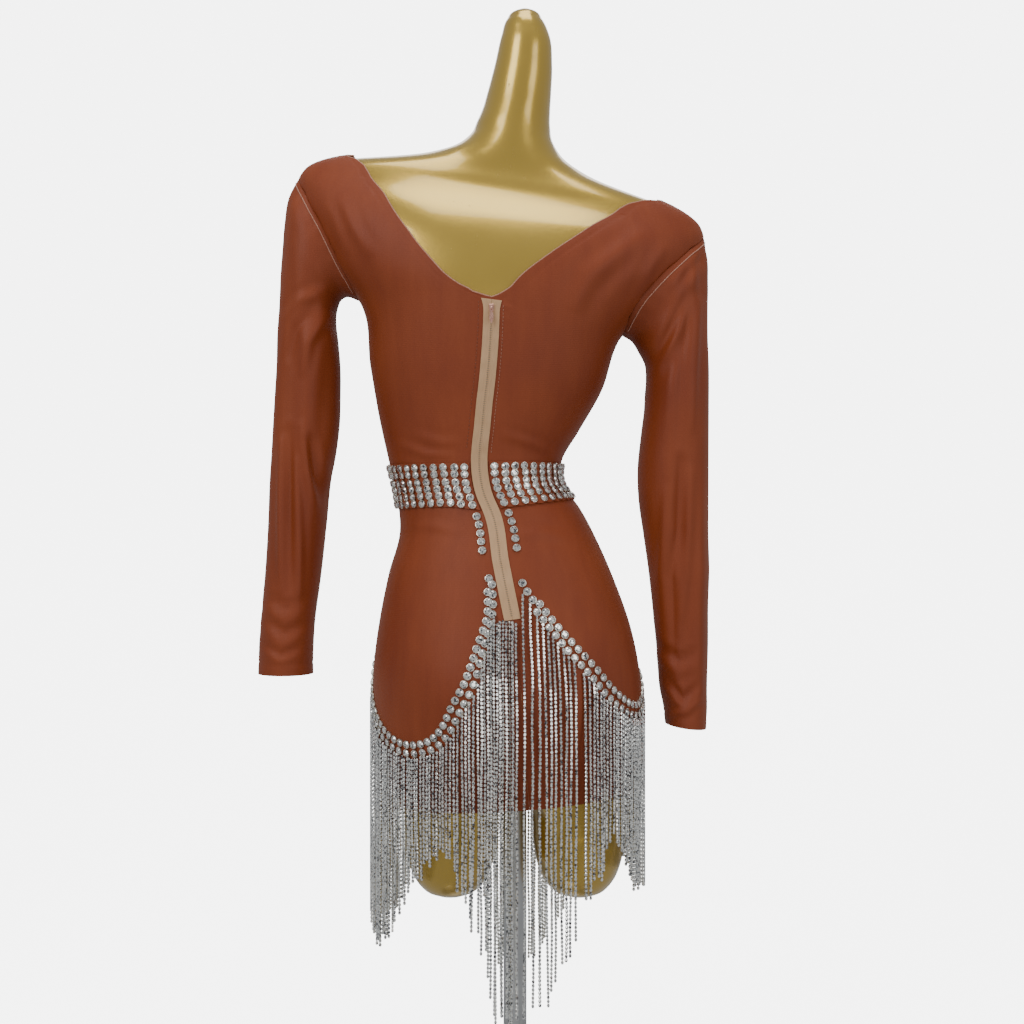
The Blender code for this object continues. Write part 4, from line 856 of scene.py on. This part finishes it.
def make_sleeves(cloth, edge):
    """Both sleeves, open at the cuff and the armhole, each with the seam that shows at its armhole."""
    made = {}
    for side in ("left", "right"):
        outer, inner = sleeve_grid(side)
        name = "sleeve_" + side
        made[name] = new_piece(name + "_cloth", *wall_shape(outer, inner, closed=True), [cloth], sharp=60)
        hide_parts(name)
        seam = outer[2] + (outer[2] - outer[2].mean(axis=0)) * 0.004
        shown = [k for k in range(SLEEVE_COLUMNS) if 6 < k < SLEEVE_COLUMNS // 2 - 2]
        bead = edge_bead("armhole_seam_" + side, seam[shown], 0.0006, edge)
    return made


def make_form(gold):
    """The display form: neck, shoulders and torso in one loft that parts into two thigh ends."""
    columns = FORM_COLUMNS
    half = columns // 2
    degrees = BACK - np.arange(columns) * 360.0 / columns
    torso = np.concatenate([np.linspace(1.2208, 1.2060, 12), np.linspace(1.2040, CROTCH_HEIGHT, 230)])
    rings = np.array([skin(height, degrees, -FORM_INSET) for height in torso])
    points = list(rings.reshape(-1, 3))
    faces = grid_faces(len(torso), columns, True)
    tip = len(points)
    points.append(np.array(FORM_TIP))
    faces += [(c, (c + 1) % columns, tip) for c in range(columns)]
    last = (len(torso) - 1) * columns
    front, back = points[last + half], points[last]
    saddle = []
    for k in range(1, SADDLE_STEPS):
        t = k / SADDLE_STEPS
        saddle.append(len(points))
        points.append(front * (1 - t) + back * t + np.array([0.0, 0.0, 0.010 * math.sin(math.pi * t)]))
    left = [last + c for c in range(half + 1)] + saddle
    right = [last + half + c for c in range(half)] + [last] + list(reversed(saddle))
    steps = smooth_between(THIGH_RINGS, 4)
    for side, loop in (("left", left), ("right", right)):
        start = np.array([points[i] for i in loop])
        middle = np.array([THIGH_X[side], THIGH_Y])
        angle = np.arctan2((start[:, 1] - middle[1]) / THIGH_HALF_DEPTH,
                           (start[:, 0] - middle[0]) / THIGH_HALF_WIDTH)
        below = loop
        for drop, share, size in steps:
            share = min(share, 1.0)
            x = middle[0] + np.cos(angle) * THIGH_HALF_WIDTH * size
            y = middle[1] + np.sin(angle) * THIGH_HALF_DEPTH * size
            flat = np.stack([x, y, np.full(len(loop), drop)], -1)
            level = np.stack([start[:, 0], start[:, 1], np.full(len(loop), drop)], -1)
            first = len(points)
            points += list(level * (1 - share) + flat * share)
            ring = list(range(first, first + len(loop)))
            faces += [(below[c], below[(c + 1) % len(loop)], ring[(c + 1) % len(loop)], ring[c])
                      for c in range(len(loop))]
            below = ring
        points.append(np.array([middle[0], middle[1], THIGH_END]))
        faces += [(below[c], below[(c + 1) % len(below)], len(points) - 1) for c in range(len(below))]
    form = new_piece("form_shell", points, faces, [gold], sharp=60)
    bpy.ops.object.select_all(action="DESELECT")
    bpy.ops.mesh.primitive_cylinder_add(vertices=48, radius=POLE_RADIUS + 2 * SEAM_GAP,
                                        depth=POLE_TOP - SOCKET_LOW,
                                        location=(0.0, 0.0, (POLE_TOP + SOCKET_LOW) / 2))
    socket = bpy.context.object
    cut = form.modifiers.new("pole socket", "BOOLEAN")
    cut.object = socket
    bpy.context.view_layer.objects.active = form
    bpy.ops.object.modifier_apply(modifier=cut.name)
    bpy.data.objects.remove(socket, do_unlink=True)
    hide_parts("form")
    return form


def turned_piece(name, profile, finish, steps):
    """A turned piece about the Z axis: a disc at its top, extruded down its profile step by step."""
    radius, height = profile[0]
    bpy.ops.object.select_all(action="DESELECT")
    bpy.ops.mesh.primitive_circle_add(vertices=steps, radius=radius, fill_type="NGON",
                                      location=(0.0, 0.0, height))
    piece = bpy.context.object
    piece.name = name
    piece.data.name = name
    bpy.ops.object.transform_apply(location=True, rotation=True, scale=True)
    bpy.ops.object.mode_set(mode="EDIT")
    bpy.ops.mesh.select_all(action="SELECT")
    for next_radius, next_height in profile[1:]:
        size = next_radius / radius
        drop = next_height - height
        bpy.ops.mesh.extrude_region_move(TRANSFORM_OT_translate={"value": (0.0, 0.0, drop)})
        bpy.ops.transform.resize(value=(size, size, 1.0), center_override=(0.0, 0.0, next_height))
        radius, height = next_radius, next_height
    bpy.ops.object.mode_set(mode="OBJECT")
    return finish_piece(piece, [finish], sharp=35)


def make_stand(steel):
    """The round plate with its collar, and the pole that stands in it."""
    base = turned_piece("base_plate", (
        (COLLAR_RADIUS - 0.001, COLLAR_HEIGHT),
        (COLLAR_RADIUS, COLLAR_HEIGHT - 0.001),
        (COLLAR_RADIUS, BASE_THICKNESS + 0.004),
        (COLLAR_RADIUS + 0.0012, BASE_THICKNESS + 0.0014),
        (COLLAR_RADIUS + 0.004, BASE_THICKNESS),
        (BASE_RADIUS - 0.002, BASE_THICKNESS),
        (BASE_RADIUS - 0.0006, BASE_THICKNESS - 0.0006),
        (BASE_RADIUS, BASE_THICKNESS - 0.002),
        (BASE_RADIUS, 0.0006),
        (BASE_RADIUS - 0.0006, 0.0)), steel, 144)
    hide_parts("stand_base")
    low, high = COLLAR_HEIGHT + SEAM_GAP, POLE_TOP - SEAM_GAP
    pole = turned_piece("pole_tube", (
        (POLE_RADIUS - 0.0006, high),
        (POLE_RADIUS, high - 0.0006),
        (POLE_RADIUS, low + 0.0006),
        (POLE_RADIUS - 0.0006, low)), steel, 64)
    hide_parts("stand_pole")


def crystal_cup(radius, sides=10):
    """One crystal in its claw cup, standing on z = 0: points, faces and which faces are metal."""
    rings = [(0.97, 0.00), (1.00, 0.12), (1.00, 0.44), (0.90, 0.46), (0.86, 0.40), (0.80, 0.50),
             (0.44, 0.76)]
    points = []
    for k, (size, rise) in enumerate(rings):
        turn = math.pi / sides if k == len(rings) - 1 else 0.0
        for c in range(sides):
            angle = 2 * math.pi * c / sides + turn
            points.append((radius * size * math.cos(angle), radius * size * math.sin(angle), radius * rise))
    faces = grid_faces(5, sides, True)
    metal = [1] * len(faces)
    low, high = 5 * sides, 6 * sides
    for c in range(sides):
        n = (c + 1) % sides
        faces.append((4 * sides + c, 4 * sides + n, low + n, low + c))
        faces.append((low + c, low + n, high + c))
        faces.append((low + n, high + n, high + c))
        metal += [0, 0, 0]
    faces.append(tuple(high + c for c in range(sides)))
    metal.append(0)
    faces.append(tuple(range(sides)))
    metal.append(1)
    for k in range(4):
        angle = math.pi / 4 + k * math.pi / 2
        first = len(points)
        for size, rise, half in ((1.02, 0.30, 0.16), (0.96, 0.60, 0.12), (0.68, 0.66, 0.07)):
            for around in (angle - half, angle + half):
                reach = radius * size
                points.append((reach * math.cos(around), reach * math.sin(around), radius * rise))
        faces += [(first, first + 1, first + 3, first + 2), (first + 2, first + 3, first + 5, first + 4),
                  (first, first + 2, first + 4), (first + 1, first + 5, first + 3),
                  (first, first + 4, first + 5, first + 1)]
        metal += [1] * 5
    return np.array(points), faces, metal


def chain_link(width, pitch):
    """One link of cup chain: a small faceted stone in its cup, long enough to meet the next one."""
    points, faces, metal = [], [], []
    for size, out, turn in ((0.36, 0.40, 0.5), (0.50, 0.08, 0.0), (0.36, -0.34, 0.0)):
        for c in range(6):
            angle = 2 * math.pi * (c + turn) / 6
            points.append((width * size * math.cos(angle), pitch * 1.12 * size * math.sin(angle),
                           width * out))
    for c in range(6):
        n = (c + 1) % 6
        faces += [(c, 6 + n, 6 + c), (c, n, 6 + n), (6 + c, 6 + n, 12 + n, 12 + c)]
        metal += [0, 0, 1]
    faces += [tuple(range(6)), tuple(range(12, 18))]
    metal += [0, 1]
    return np.array(points), faces, metal


class Cluster:
    """Many copies of small shapes, gathered into one mesh."""

    def __init__(self):
        self.points, self.faces, self.metal, self.count = [], [], [], 0

    def add(self, shape, at, across, up, out):
        points, faces, metal = shape
        placed = np.asarray(at) + points @ np.array([across, up, out])
        self.faces += [tuple(i + self.count for i in face) for face in faces]
        self.metal += metal
        self.points.append(placed)
        self.count += len(placed)

    def piece(self, name, finishes):
        return new_piece(name, np.concatenate(self.points), self.faces, finishes, finish_of=self.metal)


def stand_on_cloth(cluster, shape, height, degrees, lift, spin):
    """Sets a crystal on the cloth, flat to it."""
    at = skin(height, degrees, lift)
    out = skin(height, degrees, lift + 0.01) - at
    out /= np.linalg.norm(out)
    up = np.array([0.0, 0.0, 1.0]) - out * out[2]
    up /= np.linalg.norm(up)
    across = np.cross(up, out)
    turned_across = across * math.cos(spin) + up * math.sin(spin)
    turned_up = up * math.cos(spin) - across * math.sin(spin)
    cluster.add(shape, at, turned_across, turned_up, out)


def band_lines():
    """Angles and heights of the waistband's stone grid, from the zip's one side round to the other."""
    zip_left = BACK + look_up(ZIP_LINE, WAIST_HEIGHT)
    tape = math.degrees(TAPE_WIDTH / WAIST_HALF_WIDTH) + 0.9
    first, last = zip_left + tape - 360.0, zip_left - tape
    samples = np.linspace(first, last, 181)
    line = skin(0.705, samples, ON_CLOTH)
    run = run_along(line)
    columns = int(round(run[-1] / BAND_STONE_PITCH)) + 1

    def at(across, row):
        angles = np.interp(np.asarray(across) * run[-1] / (columns - 1), run, samples)
        turns = [edge[0] for edge in BAND_EDGE]
        top = np.interp(angles, turns, [edge[1] for edge in BAND_EDGE])
        bottom = np.interp(angles, turns, [edge[2] for edge in BAND_EDGE])
        near_zip = np.exp(-(angles - first) / 30.0) + np.exp(-(last - angles) / 30.0)
        heights = bottom + (top - bottom) * np.asarray(row) / BAND_ROWS
        bend = look_up(ZIP_LINE, heights) - look_up(ZIP_LINE, WAIST_HEIGHT)
        return heights, angles + bend * near_zip

    return at, columns - 1


def make_waistband(cloth, glass, silver):
    """The belt: a strip of cloth creased between its rows, with six rows of crystals in claw cups."""
    at, count = band_lines()
    across, row = np.meshgrid(np.linspace(0, count, 4 * count + 1), np.linspace(0, BAND_ROWS, 37))
    scallop = 0.16 * np.abs(np.cos(np.pi * across)) * np.clip(1 - row, 0, 1)
    heights, degrees = at(across, row - scallop + 0.10)
    inside = np.clip(row, 0, 1) * np.clip(BAND_ROWS - row, 0, 1)
    groove = 0.0007 * np.exp(-((row - np.round(row)) / 0.16) ** 2) * inside
    crease = 0.0010 * np.exp(-((row - 4.0) / 0.22) ** 2)
    ripple = 0.0003 * np.sin(across * 1.7 + row) + 0.0003 * np.sin(across * 0.53)
    lift = BAND_LIFT + BAND_WALL - groove * 0.6 - crease * 0.4 + ripple
    outer, inner = skin(heights, degrees, lift), skin(heights, degrees, BAND_LIFT - 0.0002)
    strip = new_piece("waistband_cloth", *wall_shape(outer, inner), [cloth], sharp=50)
    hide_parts("waistband")
    chance = np.random.default_rng(11)
    stones = Cluster()
    shape = crystal_cup(BAND_CRYSTAL)
    for r in range(BAND_ROWS):
        for c in range(count):
            jitter = chance.normal(0, 0.035, 2)
            row_at = r + 0.5 + jitter[1] * 0.8
            if r in (3, 4):
                row_at += 0.07 * (1 if r == 4 else -1)
            height, angle = at(c + 0.5 + jitter[0], row_at)
            stand_on_cloth(stones, shape, float(height), float(angle), BAND_LIFT + BAND_WALL - 0.0002,
                           chance.uniform(0, 2 * math.pi))
    band_stones = stones.piece("waistband_crystals", [glass, silver])
    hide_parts("waistband")
    loose = Cluster()
    for height, past in LOOSE_CRYSTALS:
        angle = BACK + look_up(ZIP_LINE, height) + past * 1.75
        stand_on_cloth(loose, shape, height, angle, CLOTH_TOP + 0.0001, chance.uniform(0, 2 * math.pi))
    loose.piece("zip_side_crystals", [glass, silver])
    return strip


def trim_line(table, pitch):
    """Evenly spaced places along a trim: angle, height and half width on a smooth line."""
    curve = smooth_between(table, 30)
    line = skin(curve[:, 1], curve[:, 0], ON_CLOTH)
    run = run_along(line)
    count = max(int(run[-1] / pitch), 2)
    at = (np.arange(count) + 0.5) * run[-1] / count
    return [np.interp(at, run, column) for column in curve.T]


def beside(degrees, heights, offset):
    """Angles and heights of a line beside a trim's middle line, offset metres down across it."""
    radius = ring_sizes(heights)[..., 3]
    along_x = np.gradient(np.radians(degrees) * radius)
    along_z = np.gradient(heights)
    length = np.hypot(along_x, along_z)
    down_x, down_z = along_z / length, -along_x / length
    flip = np.sign(np.sum(-down_z))
    return degrees + np.degrees(flip * down_x * offset / radius), heights + flip * down_z * offset


def hang(height, degrees, end, lift):
    """A strand's line: out over the hip as far as it swells, then plumb down to its end."""
    root = skin(height, degrees, lift)
    outward = root - skin(height, degrees, 0.0)
    outward[2] = 0.0
    outward /= np.linalg.norm(outward)
    side = np.cross(outward, (0.0, 0.0, 1.0))
    line = [root]
    reach = 0.0
    lowest = max(HEM_HEIGHT, end + 0.01)
    for level in np.arange(height - 0.012, lowest, -0.022):
        for _ in range(2):
            here = skin(level, degrees, lift)
            turned = skin(level, degrees + 0.5, lift)
            degrees -= 0.5 * np.dot(here - root, side) / np.dot(turned - here, side)
        here = skin(level, degrees, lift)
        swell = float(np.dot(here - root, outward))
        if swell <= reach:
            break
        reach = swell
        line.append(np.array([root[0] + outward[0] * reach, root[1] + outward[1] * reach, here[2]]))
    line.append(np.array([line[-1][0], line[-1][1], end]))
    return np.array(line), outward


def add_strand(cluster, shape, line, outward, chance):
    """Cup chain along a strand's line, swaying a little more towards its end."""
    run = run_along(line)
    count = max(int(run[-1] / LINK_PITCH), 4)
    along = (np.arange(count) + 0.5 + chance.uniform(-0.35, 0.35)) * LINK_PITCH
    places = np.stack([np.interp(along, run, line[:, axis]) for axis in range(3)], -1)
    side = np.cross(outward, (0.0, 0.0, 1.0))
    share = along / max(run[-1], 0.2)
    sway = chance.normal(0, 0.0011) * share ** 1.5
    sway = sway + 0.0004 * np.sin(along / chance.uniform(0.03, 0.07) * 2)
    places = places + side * sway[:, None]
    twist = chance.normal(0, 0.22) + chance.normal(0, 0.5) * share
    ahead = np.gradient(places, axis=0)
    ahead /= np.linalg.norm(ahead, axis=1, keepdims=True)
    for at, down, turn in zip(places, ahead, twist):
        out = outward - down * np.dot(outward, down)
        out /= np.linalg.norm(out)
        across = np.cross(-down, out)
        turned = out * math.cos(turn) + across * math.sin(turn)
        cluster.add(shape, at, np.cross(-down, turned), -down, turned)


def make_fringe(name, table, seed, glass, silver):
    """A trim of crystals, one row beside the zip and two further on, with its strands of cup chain."""
    chance = np.random.default_rng(100 + seed)
    degrees, heights, half = trim_line(table, TRIM_STONE_PITCH)
    stones = Cluster()
    shape = crystal_cup(TRIM_CRYSTAL)
    double = half > TWO_ROWS_FROM
    apart = np.clip(half * 0.54, 0.0042, 0.0048)
    for offset, shown in ((np.zeros(len(half)), ~double), (-apart, double), (apart, double)):
        row_degrees, row_heights = beside(degrees, heights, offset)
        for degree, height, here in zip(row_degrees, row_heights, shown):
            if here:
                stand_on_cloth(stones, shape, float(height), float(degree), CLOTH_TOP + 0.0001,
                               chance.uniform(0, 2 * math.pi))
    under_zip = name == "fringe_back_middle"
    if not under_zip:
        trim = stones.piece(name + "_crystals", [glass, silver])
        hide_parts(name)
    fine_degrees, fine_heights, fine_half = trim_line(table, 0.001)
    root_degrees, root_heights = beside(fine_degrees, fine_heights, fine_half * 0.55 + 0.0034)
    radius = ring_sizes(root_heights)[..., 3] + 0.008
    spread = np.concatenate([[0], np.cumsum(np.abs(np.diff(np.radians(root_degrees))) * radius[1:])])
    strands = Cluster()
    link = chain_link(LINK_WIDTH, LINK_PITCH)
    at = 0.0 if under_zip else 0.0030
    while at < spread[-1]:
        degree = float(np.interp(at, spread, root_degrees))
        height = float(np.interp(at, spread, root_heights))
        x = float(skin(height, degree, ON_CLOTH)[0])
        near_zip = abs(degree - FRINGE_MIDDLE) < FRINGE_MIDDLE_REACH
        lift = ON_CLOTH + 0.0018 + chance.uniform(0, 0.0030 if near_zip else 0.0008)
        lift += chance.uniform(0, 0.0030) if under_zip else 0.0
        end = float(look_up(FRINGE_ENDS, x)) + DRIFT * chance.uniform(-1, 1)
        if not (name == "fringe_back_right" and FRINGE_PARTING[0] < x < FRINGE_PARTING[1]):
            line, outward = hang(height, degree, end, lift)
            add_strand(strands, link, line, outward, chance)
        pitch = PITCH_NEAR_ZIP if near_zip else PITCH_FURTHER
        if under_zip:
            pitch = PITCH_UNDER_ZIP
        at += pitch * chance.uniform(0.78, 1.22)
    chains = strands.piece(name + "_strands", [glass, silver])
    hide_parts(name)


def make_zip(tape, coil, thread, rose_thread):
    """Two tapes with their turned inner edges, the coil between them, and the stitching beside them."""
    heights = np.linspace(ZIP_BOTTOM, ZIP_TOP, 150)
    radius = ring_sizes(heights)[..., 3]
    middle = BACK + look_up(ZIP_LINE, heights)
    share = np.linspace(0, 1, 15)
    for side, sign in (("left", -1.0), ("right", 1.0)):
        near = middle + sign * SEAM_ANGLE
        flare = 1 + 0.30 * np.clip((heights - 0.8800) / 0.0135, 0, 1) ** 2
        far = middle + sign * np.degrees(TAPE_WIDTH * flare / radius)
        angles = near[:, None] * (1 - share) + far[:, None] * share
        rows = np.repeat(heights[:, None], len(share), axis=1)
        fold = 0.0006 * np.exp(-((share - 0.10) / 0.10) ** 2)
        fold = fold + 0.0003 * np.exp(-((share - 0.42) / 0.05) ** 2)
        wave = 0.0002 * np.sin(rows * 260.0 + sign) * share
        outer = skin(rows, angles, ON_CLOTH + TAPE_WALL + fold[None, :] + wave)
        inner = skin(rows, angles, ON_CLOTH)
        name = "zip_tape_" + side
        strip = new_piece(name + "_woven", *wall_shape(outer, inner), [tape], sharp=50)
        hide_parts(name)
    teeth = Cluster()
    tooth = tooth_shape()
    for height in np.arange(ZIP_BOTTOM + 0.004, ZIP_TOP - 0.006, 0.0022):
        angle = BACK + float(look_up(ZIP_LINE, height))
        stand_on_cloth(teeth, tooth, float(height), angle, ON_CLOTH + TAPE_WALL - 0.0001, 0.0)
    teeth.piece("zip_coil", [coil, coil])
    for name, gap, finish in (("zip_stitches_left", -(TAPE_WIDTH + 0.0050), thread),
                              ("zip_stitches_right", TAPE_WIDTH + 0.0036, rose_thread)):
        stitches = Cluster()
        stitch = stitch_shape(0.0024, 0.00032)
        for height in np.arange(0.745 if gap < 0 else 0.740, ZIP_TOP - 0.004, 0.0036):
            at_radius = float(ring_sizes(height)[3])
            angle = BACK + float(look_up(ZIP_LINE, height)) + math.degrees(gap / at_radius)
            stand_on_cloth(stitches, stitch, float(height), angle, CLOTH_TOP + 0.00005, 0.0)
        stitches.piece(name, [finish, finish])


def tooth_shape():
    """One turn of the zip's coil, seen as a low rounded bar across it."""
    points = []
    for x in (-0.0013, -0.0006, 0.0006, 0.0013):
        thin = 0.6 if abs(x) > 0.001 else 1.0
        for c in range(6):
            angle = 2 * math.pi * c / 6
            points.append((x, 0.0006 * thin * math.cos(angle), 0.0004 + 0.0005 * thin * math.sin(angle)))
    faces = grid_faces(4, 6, True) + [tuple(range(6)), tuple(range(18, 24))]
    return np.array(points), faces, [0] * len(faces)


def stitch_shape(length, radius):
    """One stitch of thread, its ends dipping into the cloth."""
    points = []
    for along, rise in ((-0.5, -0.6), (-0.3, 0.5), (0.0, 0.9), (0.3, 0.5), (0.5, -0.6)):
        for c in range(5):
            angle = 2 * math.pi * c / 5
            points.append((radius * math.cos(angle), along * length, radius * (rise + math.sin(angle))))
    faces = grid_faces(5, 5, True) + [tuple(range(5)), tuple(range(20, 25))]
    return np.array(points), faces, [0] * len(faces)


def set_studio():
    """Pale sweep of paper, soft lights and the camera."""
    profile = [(-6.0, 0.0), (-2.0, 0.0), (1.2, 0.0)]
    for k in range(1, 13):
        angle = math.pi / 2 * k / 12
        profile.append((1.2 + 1.2 * math.sin(angle), 1.2 - 1.2 * math.cos(angle)))
    profile.append((2.4, 6.0))
    points = [(x, y, z) for x in (-7.0, 7.0) for y, z in profile]
    count = len(profile)
    mesh = bpy.data.meshes.new("paper_sweep")
    faces = [(k, k + 1, count + k + 1, count + k) for k in range(count - 1)]
    mesh.from_pydata(points, [], [tuple(reversed(face)) for face in faces])
    mesh.shade_smooth()
    mesh.materials.append(studio_paper())
    sweep = bpy.data.objects.new("paper_sweep", mesh)
    bpy.context.scene.collection.objects.link(sweep)
    sweep.visible_diffuse = False
    sweep.visible_glossy = False
    world = bpy.data.worlds.new("pale studio")
    world.use_nodes = True
    sky = world.node_tree.nodes["Background"]
    sky.inputs["Color"].default_value = (0.86, 0.88, 0.90, 1.0)
    sky.inputs["Strength"].default_value = 0.46
    bpy.context.scene.world = world
    for name, place, aim, size, tall, power in (
            ("key", (-1.7, -2.2, 2.3), (0.0, 0.0, 0.8), 1.2, 1.8, 34.0),
            ("fill", (2.0, -2.0, 1.5), (0.0, 0.0, 0.7), 1.0, 2.0, 15.0),
            ("top", (0.1, -0.3, 2.9), (0.0, 0.0, 0.9), 1.2, 1.2, 18.0),
            ("low", (0.2, -2.4, 0.4), (0.0, 0.0, 0.6), 1.6, 0.6, 5.0),
            ("back", (0.0, 1.7, 1.9), (0.0, 0.0, 0.8), 1.6, 1.2, 12.0)):
        lamp = bpy.data.lights.new(name, "AREA")
        lamp.shape = "RECTANGLE"
        lamp.size = size
        lamp.size_y = tall
        lamp.energy = power
        light = bpy.data.objects.new(name, lamp)
        light.location = place
        light.rotation_euler = (Vector(aim) - Vector(place)).to_track_quat("-Z", "Y").to_euler()
        bpy.context.scene.collection.objects.link(light)
    lens = bpy.data.cameras.new("camera")
    lens.sensor_width = 36.0
    lens.lens = 55.34
    camera = bpy.data.objects.new("camera", lens)
    camera.location = (-0.00324, -1.7, 0.677)
    camera.rotation_euler = (math.pi / 2, 0.0, 0.0)
    bpy.context.scene.collection.objects.link(camera)
    bpy.context.scene.camera = camera


def main():
    """Builds the scene."""
    set_studio()
    cloth = stretch_cloth()
    edge = edge_binding()
    glass = crystal_glass()
    silver = claw_silver()
    rose = rose_metal()
    form = make_form(gold_paint())
    make_stand(satin_steel())
    panels = make_panels(cloth, edge)
    sleeves = make_sleeves(cloth, edge)
    strip = make_waistband(cloth, glass, silver)
    make_zip(zip_cloth(), sewing_thread("zip coil", (0.26, 0.17, 0.10), (0.42, 0.30, 0.19)),
             sewing_thread("rust thread", (0.20, 0.05, 0.02), (0.34, 0.10, 0.05)),
             sewing_thread("rose thread", (0.38, 0.14, 0.09), (0.56, 0.27, 0.19)))
    fringes = (("fringe_back_left", TRIM_BACK_LEFT), ("fringe_back_right", TRIM_BACK_RIGHT),
               ("fringe_front_left", TRIM_FRONT_LEFT), ("fringe_front_right", TRIM_FRONT_RIGHT),
               ("fringe_back_middle", TRIM_MIDDLE))
    for seed, (name, table) in enumerate(fringes):
        make_fringe(name, table, seed, glass, silver)
    for name in ("zip_slider", "zip_pull"):
        for holder in bpy.data.objects[name].material_slots:
            holder.material = rose


main()
